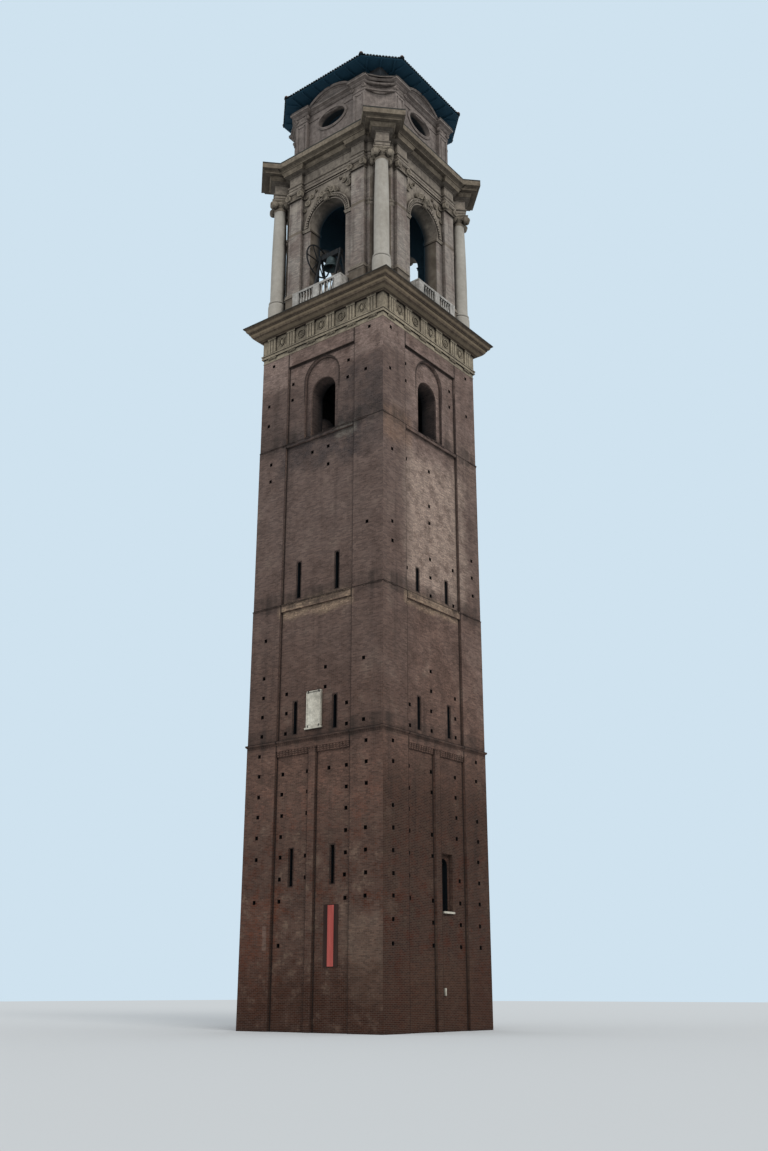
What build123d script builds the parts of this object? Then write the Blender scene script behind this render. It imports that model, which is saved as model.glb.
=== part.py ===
"""Bell tower of brick and stone, as a model at half size.

A square brick shaft in four stages, with corner lesenes and sunk panels, carries a Doric frieze and a
wide cornice. On this terrace stands a belfry with four round arches, chamfered corners and a free column
before each chamfer, then an attic with concave corners and segmental pediments under a low roof.

Millimetres, +Z up. The front is towards -Y and the right side towards +X. The origin is the middle of the
base, at ground level.
"""

import os
from itertools import pairwise
from math import atan, degrees, sqrt

from build123d import *

os.makedirs("parts", exist_ok=True)

# Shaft: width at the ground, setback of each stage, stage heights and walls
base_half = 2358.0
stage_setback = 9.0
stage_1_height = 7280.0
stage_2_height = 3870.0
stage_3_height = 5000.0
stage_4_height = 3075.0
stage_1_wall = 900.0
wall_step = 80.0
floor_thickness = 150.0
upper_floor_thickness = 90.0

# Lesenes and sunk panels
lesene_width = 1075.0
centre_lesene_width = 250.0
panel_depth = 67.0
panel_head = 205.0
third_panel_head = 100.0
upper_panel_head = 475.0

# Slit windows, in pairs
slit_spacing = 1390.0
slit_1_width = 120.0
slit_2_width = 135.0
slit_3_width = 135.0
slit_1_sill = 3475.0
slit_1_height = 950.0
slit_2_sill = 145.0
slit_2_height = 900.0
slit_3_sill = 125.0
slit_3_height = 1075.0
right_slit_3_height = 690.0

# Rectangular window in the right wall, with a stone sill
square_recess_from = 230.0
square_recess_to = 715.0
square_recess_foot = 2825.0
square_recess_top = 4325.0
square_recess_depth = 110.0
square_light_width = 370.0
square_light_rise = 1150.0
square_light_edge = 30.0
sill_thickness = 50.0
sill_projection = 55.0

# Arched window of stage 4 in its round niche
niche_width = 1280.0
niche_springing = 1900.0
niche_depth = 83.0
window_width = 920.0
window_sill = 100.0
window_springing = 1450.0

# String course over stage 1
string_course_height = 75.0
string_course_projection = 40.0

# Doric frieze and main cornice
architrave_height = 125.0
taenia_height = 135.0
frieze_height = 505.0
frieze_projection = 19.0
taenia_projection = 41.0
triglyph_count = 6
triglyph_width = 315.0
triglyph_relief = 20.0
ovolo_height = 235.0
ovolo_projection = 295.0
ovolo_bulge = 55.0
corona_height = 35.0
corona_projection = 20.0
cyma_height = 150.0
cyma_projection = 140.0
cyma_bulge = 14.0
cyma_fillet = 30.0

# Belfry: walls, openings, pilasters and chamfered corners
belfry_setback = 228.0
belfry_wall = 475.0
belfry_height = 4760.0
arch_width = 1440.0
arch_springing = 3210.0
archivolt_width = 190.0
archivolt_relief = 30.0
keystone_width = 150.0
keystone_height = 265.0
keystone_angle = 100.0
keystone_relief = 60.0
pilaster_margin = 100.0
pilaster_width = 500.0
pilaster_relief = 120.0
pedestal_height = 840.0
pedestal_relief = 25.0
chamfer_leg = 500.0
respond_half = 205.0
respond_relief = 50.0
respond_gap = 5.0
impost_height = 100.0
impost_relief = 25.0
capital_height = 350.0
capital_flare = 50.0

# Corner columns, turned with many flat sides
column_standoff = 290.0
column_sides = 24
drum_radius = 285.0
drum_height = 860.0
drum_shoulder = 50.0
torus_radius = 272.0
torus_height = 84.0
column_foot_radius = 232.0
column_third_radius = 229.0
column_neck_radius = 195.0
astragal_radius = 212.0
astragal_height = 28.0
necking_height = 60.0
echinus_height = 115.0
abacus_half = 285.0
abacus_height = 120.0

# Balustrades before the arches
balustrade_standoff = 495.0
balustrade_clearance = 55.0
balustrade_depth = 120.0
balustrade_height = 635.0
plinth_height = 80.0
rail_height = 75.0
post_width = 250.0
baluster_pitch = 115.0
baluster_waist = 22.0
baluster_belly = 38.0
baluster_depth = 60.0
baluster_foot = 57.6
baluster_swell = 144.0
baluster_head = 72.0

# Belfry entablature and cornice
entablature_relief = 25.0
belfry_architrave_height = 250.0
belfry_frieze_height = 420.0
architrave_relief = 15.0
block_projection = 495.0
block_half = 205.0
bed_height = 140.0
bed_projection = 150.0
belfry_corona_height = 120.0
belfry_corona_projection = 340.0
crown_height = 220.0
crown_projection = 110.0
attic_ledge = 100.0

# Attic with concave corners
attic_overhang = 20.0
attic_panel_depth = 125.0
attic_pier_thickness = 590.0
attic_height = 1900.0
attic_corner_leg = 700.0
attic_pilaster_width = 475.0
corner_sagitta = 170.0
oculus_width = 1110.0
oculus_height = 630.0
oculus_centre = 1350.0
attic_architrave_height = 100.0
attic_architrave_relief = 60.0
attic_cornice_height = 100.0
attic_cornice_relief = 150.0
upper_attic_height = 450.0
upper_attic_setback = 330.0
pediment_clearance = 10.0
pediment_band = 90.0
pediment_relief = 60.0
pediment_band_relief = 125.0

# Octagonal roof
eave_projection = 380.0
eave_chamfer = 930.0
eave_edge = 60.0
roof_rise = 1130.0

# Marble plaque and hanging banner
plaque_width = 515.0
plaque_height = 980.0
plaque_foot = 250.0
plaque_thickness = 40.0
banner_from = 450.0
banner_width = 465.0
banner_foot = 1500.0
banner_height = 1475.0
banner_thickness = 12.0

# Bell in the front arch, with its headstock, wheel and frame
bell_x = -80.0
bell_setback = 280.0
bell_axis_rise = 2095.0
bell_mouth_radius = 250.0
bell_waist_radius = 172.0
bell_waist_height = 130.0
bell_shoulder_radius = 135.0
bell_shoulder_drop = 56.0
bell_crown_radius = 85.0
bell_body_height = 400.0
bell_lip_thickness = 32.0
bell_skin = 16.0
headstock_length = 680.0
headstock_height = 170.0
headstock_width = 130.0
axle_radius = 22.0
axle_clearance = 0.05
wheel_x = -620.0
wheel_radius = 550.0
wheel_rim = 40.0
wheel_thickness = 30.0
wheel_hub_radius = 70.0
wheel_spoke = 24.0
clapper_rod_radius = 12.0
clapper_ball_radius = 34.0
clapper_ball_height = 68.0
clapper_ball_edge = 18.0
clapper_drop = 17.0
trestle_offset = 400.0
trestle_thickness = 60.0
trestle_spread = 500.0
leg_width = 60.0
tie_rise = 735.0
tie_reach = 325.0
bearing_half = 75.0

# Heights and half-widths that follow from the sizes above
stage_feet = [0.0, stage_1_height, stage_1_height + stage_2_height]
stage_feet.append(stage_feet[2] + stage_3_height)
shaft_top = stage_feet[3] + stage_4_height
stage_tops = [stage_1_height - string_course_height, stage_feet[2], stage_feet[3], shaft_top]
stage_halves = [base_half - stage * stage_setback for stage in range(4)]
room_halves = [
    stage_halves[stage] - (stage_1_wall - stage * wall_step) for stage in range(4)
]
frieze_half = stage_halves[3] + frieze_projection
terrace = (
    shaft_top + architrave_height + taenia_height + frieze_height
    + ovolo_height + corona_height + cyma_height + cyma_fillet
)
belfry_half = base_half - belfry_setback
chamfer_reach = (2 * belfry_half - chamfer_leg) / sqrt(2)
belfry_room_half = belfry_half - belfry_wall
floor_seat_half = belfry_half - belfry_wall / 4
belfry_top = terrace + belfry_height
springing = terrace + arch_springing
arch_radius = arch_width / 2
pilaster_to = belfry_half - chamfer_leg - pilaster_margin
pilaster_from = pilaster_to - pilaster_width
column_reach = chamfer_reach + column_standoff
balustrade_reach = belfry_half + balustrade_standoff
balustrade_half = pilaster_from - pedestal_relief - balustrade_clearance
entablature_half = belfry_half + entablature_relief
block_reach = chamfer_reach + block_projection
attic_half = belfry_half + attic_overhang
attic_room_half = attic_half - attic_pier_thickness
attic_pilaster_to = attic_half - attic_corner_leg
attic_pilaster_from = attic_pilaster_to - attic_pilaster_width
upper_attic_half = attic_half - upper_attic_setback
pediment_rise = upper_attic_height - pediment_clearance
eave_half = attic_half + eave_projection
bell_y = bell_setback - belfry_half
cornice_foot = belfry_top + belfry_architrave_height + belfry_frieze_height
attic_foot = cornice_foot + bed_height + belfry_corona_height + crown_height
attic_room_floor_half = belfry_room_half + attic_ledge
attic_architrave_foot = attic_foot + attic_height
attic_cornice_top = attic_architrave_foot + attic_architrave_height + attic_cornice_height
eave = attic_cornice_top + upper_attic_height
panel_half = base_half - lesene_width
panel_heads = [panel_head, panel_head, third_panel_head, upper_panel_head]
turns = {"front": 0, "right": 90, "back": 180, "left": 270}


def face(turn, reach):
    """Plane on one side of the tower: x runs along the wall, y is the height, z points outwards."""
    outwards = Vector(0, -1, 0).rotate(Axis.Z, turn)
    along = Vector(1, 0, 0).rotate(Axis.Z, turn)
    return Plane(origin=outwards * reach, x_dir=along, z_dir=outwards)


def upright(left, foot, width, height):
    """Rectangle in a face plane, placed by its left foot."""
    with Locations((left + width / 2, foot + height / 2)):
        Rectangle(width, height)


def arched(centre, foot, width, springing_height):
    """Rectangle with a round head in a face plane."""
    upright(centre - width / 2, foot, width, springing_height - foot)
    with Locations((centre, springing_height)):
        Circle(width / 2)


def save(piece, name):
    piece.part.label = name
    export_step(piece.part, f"parts/{name}.step")


# Walls of the shaft
def wall_block(stage, turn):
    """Plain block of one wall. The front and back walls run past the ends of the side walls."""
    half = stage_halves[stage]
    run = half if turn in (0, 180) else room_halves[stage]
    height = stage_tops[stage] - stage_feet[stage]
    with BuildSketch(face(turn, half)) as block:
        upright(-run, stage_feet[stage], 2 * run, height)
    extrude(block.sketch, amount=-(half - room_halves[stage]))


def sink_panels(stage, turn):
    """Recess between the lesenes, parted by a thin lesene in stage 1."""
    half = stage_halves[stage]
    foot = stage_feet[stage]
    top = stage_tops[stage] - panel_heads[stage]
    with BuildSketch(face(turn, half)) as panels:
        upright(-panel_half, foot, 2 * panel_half, top - foot)
        if stage == 0:
            with Locations((0, (foot + top) / 2)):
                Rectangle(centre_lesene_width, top - foot, mode=Mode.SUBTRACT)
    extrude(panels.sketch, amount=-panel_depth, mode=Mode.SUBTRACT)


def cut_slits(stage, turn, width, foot, height, round_head):
    """Pair of slit windows, right through the wall."""
    with BuildSketch(face(turn, stage_halves[stage])) as slits:
        for side in (-1, 1):
            centre = side * slit_spacing / 2
            if round_head:
                arched(centre, foot, width, foot + height - width / 2)
            else:
                upright(centre - width / 2, foot, width, height)
    wall = stage_halves[stage] - room_halves[stage]
    extrude(slits.sketch, amount=-wall, mode=Mode.SUBTRACT)


def cut_square_window(turn):
    """Rectangular recess and the narrower round-headed light inside it."""
    recess_plane = stage_halves[0] - panel_depth
    with BuildSketch(face(turn, recess_plane)) as recess:
        upright(
            square_recess_from, square_recess_foot,
            square_recess_to - square_recess_from, square_recess_top - square_recess_foot,
        )
    extrude(recess.sketch, amount=-square_recess_depth, mode=Mode.SUBTRACT)
    light_centre = square_recess_from + square_light_edge + square_light_width / 2
    light_foot = square_recess_foot + sill_thickness
    with BuildSketch(face(turn, recess_plane)) as light:
        arched(light_centre, light_foot, square_light_width, light_foot + square_light_rise)
    extrude(light.sketch, amount=-(recess_plane - room_halves[0]), mode=Mode.SUBTRACT)


def cut_arched_window(turn):
    """Round niche sunk in the panel, and the arched window right through its back."""
    foot = stage_feet[3]
    niche_plane = stage_halves[3] - panel_depth
    with BuildSketch(face(turn, niche_plane)) as niche:
        arched(0, foot, niche_width, foot + niche_springing)
    extrude(niche.sketch, amount=-niche_depth, mode=Mode.SUBTRACT)
    with BuildSketch(face(turn, niche_plane)) as window:
        arched(0, foot + window_sill, window_width, foot + window_springing)
    extrude(window.sketch, amount=-(niche_plane - room_halves[3]), mode=Mode.SUBTRACT)


for side_name, turn in turns.items():
    with BuildPart() as wall_1:
        wall_block(0, turn)
        sink_panels(0, turn)
        if side_name == "right":
            cut_square_window(turn)
        else:
            cut_slits(0, turn, slit_1_width, slit_1_sill, slit_1_height, False)
    save(wall_1, f"{side_name}_wall_1")

    with BuildPart() as wall_2:
        wall_block(1, turn)
        sink_panels(1, turn)
        cut_slits(1, turn, slit_2_width, stage_feet[1] + slit_2_sill, slit_2_height, True)
    save(wall_2, f"{side_name}_wall_2")

    with BuildPart() as wall_3:
        wall_block(2, turn)
        sink_panels(2, turn)
        slit_height = right_slit_3_height if side_name == "right" else slit_3_height
        cut_slits(2, turn, slit_3_width, stage_feet[2] + slit_3_sill, slit_height, True)
    save(wall_3, f"{side_name}_wall_3")

    with BuildPart() as wall_4:
        wall_block(3, turn)
        sink_panels(3, turn)
        cut_arched_window(turn)
    save(wall_4, f"{side_name}_wall_4")


# Floors of the shaft: each upper one lies on the ledge that the thinner wall above it leaves
def floor_slab(name, half, foot, thickness):
    with BuildPart() as slab:
        with BuildSketch(Plane.XY.offset(foot)):
            Rectangle(2 * half, 2 * half)
        extrude(amount=thickness)
    save(slab, name)


floor_slab("ground_floor", room_halves[0], 0.0, floor_thickness)
for stage in (1, 2, 3):
    floor_slab(f"floor_{stage + 1}", room_halves[stage], stage_feet[stage], upper_floor_thickness)
floor_slab("belfry_floor", floor_seat_half, terrace - floor_thickness, floor_thickness)
floor_slab("attic_floor", attic_room_floor_half, cornice_foot, floor_thickness)


def square_ring(profile, room_half):
    """Square band with a moulded outer face.

    The profile runs up in half-width, height and the bulge of the curve to the next point, 0 for a straight.
    """
    foot = profile[0][1]
    top = profile[-1][1]
    for plane, mode in ((Plane.XZ, Mode.ADD), (Plane.YZ, Mode.INTERSECT)):
        with BuildSketch(plane) as section:
            with BuildLine() as outline:
                for (reach, height, bulge), (next_reach, next_height, _) in pairwise(profile):
                    if bulge:
                        SagittaArc((reach, height), (next_reach, next_height), bulge)
                    else:
                        Line((reach, height), (next_reach, next_height))
                mirror(about=Plane.YZ)
                Line((-profile[0][0], foot), (profile[0][0], foot))
                Line((-profile[-1][0], top), (profile[-1][0], top))
            make_face(outline.edges())
        extrude(section.sketch, amount=2 * base_half, both=True, mode=mode)
    with BuildSketch(Plane.XY.offset(foot)) as room:
        Rectangle(2 * room_half, 2 * room_half)
    extrude(room.sketch, amount=top - foot, mode=Mode.SUBTRACT)


with BuildPart() as string_course:
    course_half = stage_halves[0] + string_course_projection
    square_ring(
        [
            (stage_halves[0], stage_tops[0], 0),
            (course_half, stage_tops[0] + string_course_height / 2, 0),
            (course_half, stage_feet[1], 0),
        ],
        room_halves[0],
    )
save(string_course, "string_course")

# Doric frieze: architrave, taenia and frieze with its triglyphs
with BuildPart() as doric_frieze:
    taenia_foot = shaft_top + architrave_height
    frieze_foot = taenia_foot + taenia_height
    frieze_top = frieze_foot + frieze_height
    taenia_half = stage_halves[3] + taenia_projection
    square_ring(
        [
            (stage_halves[3], shaft_top, 0),
            (stage_halves[3], taenia_foot, 0),
            (taenia_half, taenia_foot, 0),
            (taenia_half, frieze_foot, 0),
            (frieze_half, frieze_foot, 0),
            (frieze_half, frieze_top, 0),
        ],
        room_halves[3],
    )
    triglyph_pitch = 2 * frieze_half / triglyph_count
    for turn in turns.values():
        with BuildSketch(face(turn, frieze_half)):
            with Locations((0, frieze_foot + frieze_height / 2)):
                with GridLocations(triglyph_pitch, 1, triglyph_count, 1):
                    Rectangle(triglyph_width, frieze_height)
        extrude(amount=triglyph_relief)
save(doric_frieze, "doric_frieze")

# Main cornice, with the seat of the belfry floor sunk in its top
with BuildPart() as main_cornice:
    ovolo_half = frieze_half + triglyph_relief + ovolo_projection
    corona_half = ovolo_half + corona_projection
    ovolo_top = frieze_top + ovolo_height
    corona_top = ovolo_top + corona_height
    square_ring(
        [
            (frieze_half + triglyph_relief, frieze_top, -ovolo_bulge),
            (ovolo_half, ovolo_top, 0),
            (corona_half, ovolo_top, 0),
            (corona_half, corona_top, -cyma_bulge),
            (corona_half + cyma_projection / 2, corona_top + cyma_height / 2, cyma_bulge),
            (corona_half + cyma_projection, corona_top + cyma_height, 0),
            (corona_half + cyma_projection, terrace, 0),
        ],
        room_halves[3],
    )
    with BuildSketch(Plane.XY.offset(terrace - floor_thickness)):
        Rectangle(2 * floor_seat_half, 2 * floor_seat_half)
    extrude(amount=floor_thickness, mode=Mode.SUBTRACT)
save(main_cornice, "main_cornice")


# Plans of the belfry
def cross_bars(half_length, left, width):
    """Bars through the middle in both directions, mirrored: where pilasters and openings lie."""
    for side in (-1, 1):
        with Locations((side * (left + width / 2), 0)):
            Rectangle(width, 2 * half_length)
        with Locations((0, side * (left + width / 2))):
            Rectangle(2 * half_length, width)


def open_cross(half_length, width):
    """Cross of the four arch openings."""
    Rectangle(2 * half_length, width, mode=Mode.SUBTRACT)
    Rectangle(width, 2 * half_length, mode=Mode.SUBTRACT)


def belfry_plan(half, reach):
    """Square with chamfered corners: reach is the distance from the middle to each chamfer."""
    square = Rectangle(2 * half, 2 * half)
    chamfer(square.vertices(), length=2 * half - reach * sqrt(2))


# Corner piers: four solids with pilasters, pedestals, imposts and capitals
with BuildPart() as belfry_piers:
    with BuildSketch(Plane.XY.offset(terrace)):
        belfry_plan(belfry_half, chamfer_reach)
        cross_bars(belfry_half + pilaster_relief, pilaster_from, pilaster_width)
        Rectangle(2 * belfry_room_half, 2 * belfry_room_half, mode=Mode.SUBTRACT)
        open_cross(2 * belfry_half, arch_width)
    extrude(amount=belfry_height)
    with BuildSketch(Plane.XY.offset(terrace)):
        pedestal_from = pilaster_from - pedestal_relief
        pedestal_width = pilaster_width + 2 * pedestal_relief
        cross_bars(belfry_half + pilaster_relief + pedestal_relief, pedestal_from, pedestal_width)
        Rectangle(2 * belfry_room_half, 2 * belfry_room_half, mode=Mode.SUBTRACT)
        open_cross(2 * belfry_half, arch_width)
    extrude(amount=pedestal_height)
    respond_foot = terrace + drum_height + drum_shoulder + torus_height + respond_gap
    respond_top = belfry_top - abacus_height - echinus_height - respond_gap
    with BuildSketch(Plane.XY.offset(respond_foot)):
        for angle in (45, 135):
            Rectangle(2 * (chamfer_reach + respond_relief), 2 * respond_half, rotation=angle)
        Rectangle(2 * belfry_room_half, 2 * belfry_room_half, mode=Mode.SUBTRACT)
    extrude(amount=respond_top - respond_foot)
    with BuildSketch(Plane.XY.offset(springing)):
        Rectangle(2 * pilaster_from, 4 * belfry_half)
        Rectangle(4 * belfry_half, 2 * pilaster_from)
    extrude(amount=belfry_height - arch_springing, mode=Mode.SUBTRACT)
    for turn in turns.values():
        with BuildSketch(face(turn, belfry_half + impost_relief)):
            for side in (-1, 1):
                with Locations((side * (arch_radius + pilaster_from) / 2, springing - impost_height / 2)):
                    Rectangle(pilaster_from - arch_radius, impost_height)
                with Locations((side * arch_radius, springing - impost_height / 2)):
                    Rectangle(2 * impost_relief, impost_height)
        extrude(amount=-belfry_wall - impost_relief)
        for side in (-1, 1):
            capital_centre = side * (pilaster_from + pilaster_width / 2)
            pilaster_plane = belfry_half + pilaster_relief
            with BuildSketch(face(turn, pilaster_plane)):
                with Locations((capital_centre, belfry_top - capital_height / 2)):
                    Rectangle(pilaster_width, capital_height)
            extrude(amount=capital_flare)
save(belfry_piers, "belfry_piers")

# Round arches between the piers, each with its archivolt and keystone
with BuildPart() as belfry_arches:
    for turn in turns.values():
        with BuildSketch(face(turn, belfry_half)):
            upright(-pilaster_from, springing, 2 * pilaster_from, belfry_top - springing)
            with Locations((0, springing)):
                Circle(arch_radius, mode=Mode.SUBTRACT)
        extrude(amount=-belfry_wall)
        with BuildSketch(face(turn, belfry_half)):
            with Locations((0, springing)):
                Circle(arch_radius + archivolt_width)
                Circle(arch_radius, mode=Mode.SUBTRACT)
            with Locations((0, springing - arch_width)):
                Rectangle(2 * arch_width, 2 * arch_width, mode=Mode.SUBTRACT)
        extrude(amount=archivolt_relief)
        with BuildSketch(face(turn, belfry_half)):
            with Locations((0, springing + arch_radius + archivolt_width / 2)):
                Trapezoid(keystone_width, keystone_height, keystone_angle)
        extrude(amount=keystone_relief)
save(belfry_arches, "belfry_arches")

# Free columns before the chamfers: drum, torus, swelling shaft and capital, in rings from the foot up
column_shaft_height = (
    belfry_height - drum_height - drum_shoulder - torus_height - astragal_height
    - necking_height - echinus_height - abacus_height
)
column_rings = [
    (drum_radius, drum_radius, drum_height),
    (drum_radius, column_foot_radius, drum_shoulder),
    (column_foot_radius, torus_radius, torus_height / 2),
    (torus_radius, column_foot_radius, torus_height / 2),
    (column_foot_radius, column_third_radius, column_shaft_height / 3),
    (column_third_radius, column_neck_radius, column_shaft_height * 2 / 3),
    (astragal_radius, astragal_radius, astragal_height),
    (column_neck_radius, column_neck_radius, necking_height),
    (column_neck_radius, abacus_half, echinus_height),
]
with BuildPart() as column:
    ring_foot = terrace
    for foot_radius, top_radius, ring_height in column_rings:
        with BuildSketch(Plane.XY.offset(ring_foot)):
            RegularPolygon(foot_radius, column_sides, major_radius=False)
        extrude(amount=ring_height, taper=degrees(atan((foot_radius - top_radius) / ring_height)))
        ring_foot += ring_height
    with BuildSketch(Plane.XY.offset(ring_foot)):
        Rectangle(2 * abacus_half, 2 * abacus_half)
    extrude(amount=abacus_height)
with BuildPart() as corner_columns:
    with PolarLocations(column_reach, 4, start_angle=45):
        add(column.part)
save(corner_columns, "corner_columns")


# Stone balustrades: plinth, rail, posts with returns to the wall, and turned balusters
def balustrade(turn):
    middle = balustrade_reach - balustrade_depth / 2
    bay = balustrade_half - post_width - post_width / 2
    balusters = round(bay / baluster_pitch)
    pitch = bay / balusters
    baluster_height = balustrade_height - plinth_height - rail_height
    rail_foot = terrace + plinth_height + baluster_height
    with BuildSketch(face(turn, balustrade_reach)) as front:
        upright(-balustrade_half, terrace, 2 * balustrade_half, plinth_height)
        upright(-balustrade_half, rail_foot, 2 * balustrade_half, rail_height)
        for left in (-balustrade_half, -post_width / 2, balustrade_half - post_width):
            upright(left, terrace, post_width, balustrade_height)
    extrude(front.sketch, amount=-balustrade_depth)
    with BuildSketch(face(turn, balustrade_reach)) as returns:
        for left in (-balustrade_half, balustrade_half - balustrade_depth):
            upright(left, terrace, balustrade_depth, balustrade_height)
    extrude(returns.sketch, amount=-(balustrade_reach - belfry_half))
    profile = [
        (baluster_belly, 0.0), (baluster_waist, baluster_foot), (baluster_belly, baluster_swell),
        (baluster_waist, baluster_height - baluster_head), (baluster_belly, baluster_height),
    ]
    right_edge = [(reach, terrace + plinth_height + rise) for reach, rise in profile]
    left_edge = [(-reach, height) for reach, height in reversed(right_edge)]
    with BuildSketch(face(turn, middle)) as row:
        for side in (-1, 1):
            for index in range(balusters):
                with Locations((side * (post_width / 2 + (index + 0.5) * pitch), 0)):
                    Polygon(*right_edge, *left_edge, align=None)
    extrude(row.sketch, amount=baluster_depth / 2, both=True)


with BuildPart() as balustrades:
    for turn in turns.values():
        balustrade(turn)
save(balustrades, "balustrades")


# Belfry entablature: it breaks forward over the pilasters and, in a block, over each column
def entablature_plan(growth, with_pilasters):
    belfry_plan(entablature_half + growth, chamfer_reach + entablature_relief + growth)
    if with_pilasters:
        cross_bars(
            belfry_half + pilaster_relief + entablature_relief + growth,
            pilaster_from - growth, pilaster_width + 2 * growth,
        )
    for angle in (45, 135):
        Rectangle(2 * (block_reach + growth), 2 * (block_half + growth), rotation=angle)


with BuildPart() as belfry_entablature:
    with BuildSketch(Plane.XY.offset(belfry_top)):
        entablature_plan(architrave_relief, True)
        Rectangle(2 * belfry_room_half, 2 * belfry_room_half, mode=Mode.SUBTRACT)
    extrude(amount=belfry_architrave_height)
    with BuildSketch(Plane.XY.offset(belfry_top + belfry_architrave_height)):
        entablature_plan(0, True)
        Rectangle(2 * belfry_room_half, 2 * belfry_room_half, mode=Mode.SUBTRACT)
    extrude(amount=belfry_frieze_height)
save(belfry_entablature, "belfry_entablature")

with BuildPart() as belfry_cornice:
    with BuildSketch(Plane.XY.offset(cornice_foot)):
        entablature_plan(bed_projection, True)
    extrude(amount=bed_height)
    with BuildSketch(Plane.XY.offset(cornice_foot + bed_height)):
        entablature_plan(belfry_corona_projection, False)
    extrude(amount=belfry_corona_height)
    with BuildSketch(Plane.XY.offset(cornice_foot + bed_height + belfry_corona_height)):
        entablature_plan(belfry_corona_projection + crown_projection, False)
    extrude(amount=crown_height)
    with BuildSketch(Plane.XY.offset(cornice_foot)):
        Rectangle(2 * attic_room_floor_half, 2 * attic_room_floor_half)
    extrude(amount=attic_foot - cornice_foot, mode=Mode.SUBTRACT)
save(belfry_cornice, "belfry_cornice")

# Attic: corner piers with a concave face, walls with an oval window between them
corner_chord = (attic_half - attic_pilaster_to) * sqrt(2)
corner_radius = (corner_chord**2 / 4 + corner_sagitta**2) / (2 * corner_sagitta)
corner_reach = (attic_half + attic_pilaster_to) / sqrt(2) + corner_radius - corner_sagitta


def attic_plan(growth):
    """Outline of the attic: sunk faces between the pilasters and a hollow curve at each corner."""
    outer = attic_half + growth
    Rectangle(2 * outer, 2 * outer)
    with PolarLocations(corner_reach, 4, start_angle=45):
        Circle(corner_radius - growth, mode=Mode.SUBTRACT)
    sunk_half = attic_pilaster_from - growth
    for angle in (0, 90, 180, 270):
        with PolarLocations(outer - attic_panel_depth / 2, 1, start_angle=angle):
            Rectangle(attic_panel_depth, 2 * sunk_half, mode=Mode.SUBTRACT)


with BuildPart() as attic_piers:
    with BuildSketch(Plane.XY.offset(attic_foot)):
        attic_plan(0)
        Rectangle(2 * attic_room_half, 2 * attic_room_half, mode=Mode.SUBTRACT)
        open_cross(2 * attic_half, 2 * attic_pilaster_from)
    extrude(amount=attic_height)
save(attic_piers, "attic_piers")

with BuildPart() as attic_walls:
    for turn in turns.values():
        with BuildSketch(face(turn, attic_half - attic_panel_depth)):
            upright(-attic_pilaster_from, attic_foot, 2 * attic_pilaster_from, attic_height)
            with Locations((0, attic_foot + oculus_centre)):
                Ellipse(oculus_width / 2, oculus_height / 2, mode=Mode.SUBTRACT)
        extrude(amount=-(attic_half - attic_panel_depth - attic_room_half))
save(attic_walls, "attic_walls")

with BuildPart() as attic_cornice:
    with BuildSketch(Plane.XY.offset(attic_architrave_foot)):
        attic_plan(attic_architrave_relief)
    extrude(amount=attic_architrave_height)
    with BuildSketch(Plane.XY.offset(attic_architrave_foot + attic_architrave_height)):
        attic_plan(attic_cornice_relief)
    extrude(amount=attic_cornice_height)
    with BuildSketch(Plane.XY.offset(attic_architrave_foot)):
        Rectangle(2 * attic_room_half, 2 * attic_room_half)
    extrude(amount=attic_cornice_top - attic_architrave_foot, mode=Mode.SUBTRACT)
save(attic_cornice, "attic_cornice")

# Plain walls set back behind the pediments, in the shade of the eaves
with BuildPart() as upper_attic:
    with BuildSketch(Plane.XY.offset(attic_cornice_top)):
        Rectangle(2 * upper_attic_half, 2 * upper_attic_half)
        Rectangle(2 * attic_room_half, 2 * attic_room_half, mode=Mode.SUBTRACT)
    extrude(amount=upper_attic_height)
save(upper_attic, "upper_attic")


# Segmental pediments on the attic cornice: a deep field with a curved band before it
def segment(half_width, foot, rise, mode=Mode.ADD):
    with BuildLine() as outline:
        ThreePointArc((-half_width, foot), (0, foot + rise), (half_width, foot))
        Line((half_width, foot), (-half_width, foot))
    make_face(outline.edges(), mode=mode)


with BuildPart() as pediments:
    for turn in turns.values():
        field_reach = attic_half - attic_panel_depth + pediment_relief
        with BuildSketch(face(turn, field_reach)):
            segment(attic_pilaster_from, attic_cornice_top, pediment_rise)
        extrude(amount=-(field_reach - upper_attic_half))
        with BuildSketch(face(turn, field_reach)):
            segment(attic_pilaster_from, attic_cornice_top, pediment_rise)
            segment(
                attic_pilaster_from - pediment_band, attic_cornice_top,
                pediment_rise - pediment_band, Mode.SUBTRACT,
            )
        extrude(amount=pediment_band_relief - pediment_relief)
save(pediments, "pediments")


# Low octagonal roof, hollow over the attic room
def hipped_block(scale):
    """Block under eight planes: what four crossing bars with a gable-shaped section have in common."""
    corner_half = (2 * eave_half - eave_chamfer) / sqrt(2)
    mode = Mode.ADD
    for angle, half in ((0, eave_half), (90, eave_half), (45, corner_half), (135, corner_half)):
        with BuildSketch(face(angle, 0)) as gable:
            with BuildLine() as outline:
                Polyline(
                    (-half * scale, eave),
                    (half * scale, eave),
                    (half * scale, eave + eave_edge * scale),
                    (0, eave + roof_rise * scale),
                    (-half * scale, eave + eave_edge * scale),
                    close=True,
                )
            make_face(outline.edges())
        extrude(gable.sketch, amount=2 * eave_half, both=True, mode=mode)
        mode = Mode.INTERSECT


with BuildPart() as roof_hollow:
    hipped_block(attic_room_half / eave_half)
with BuildPart() as roof:
    hipped_block(1)
    add(roof_hollow.part, mode=Mode.SUBTRACT)
save(roof, "roof")

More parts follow.
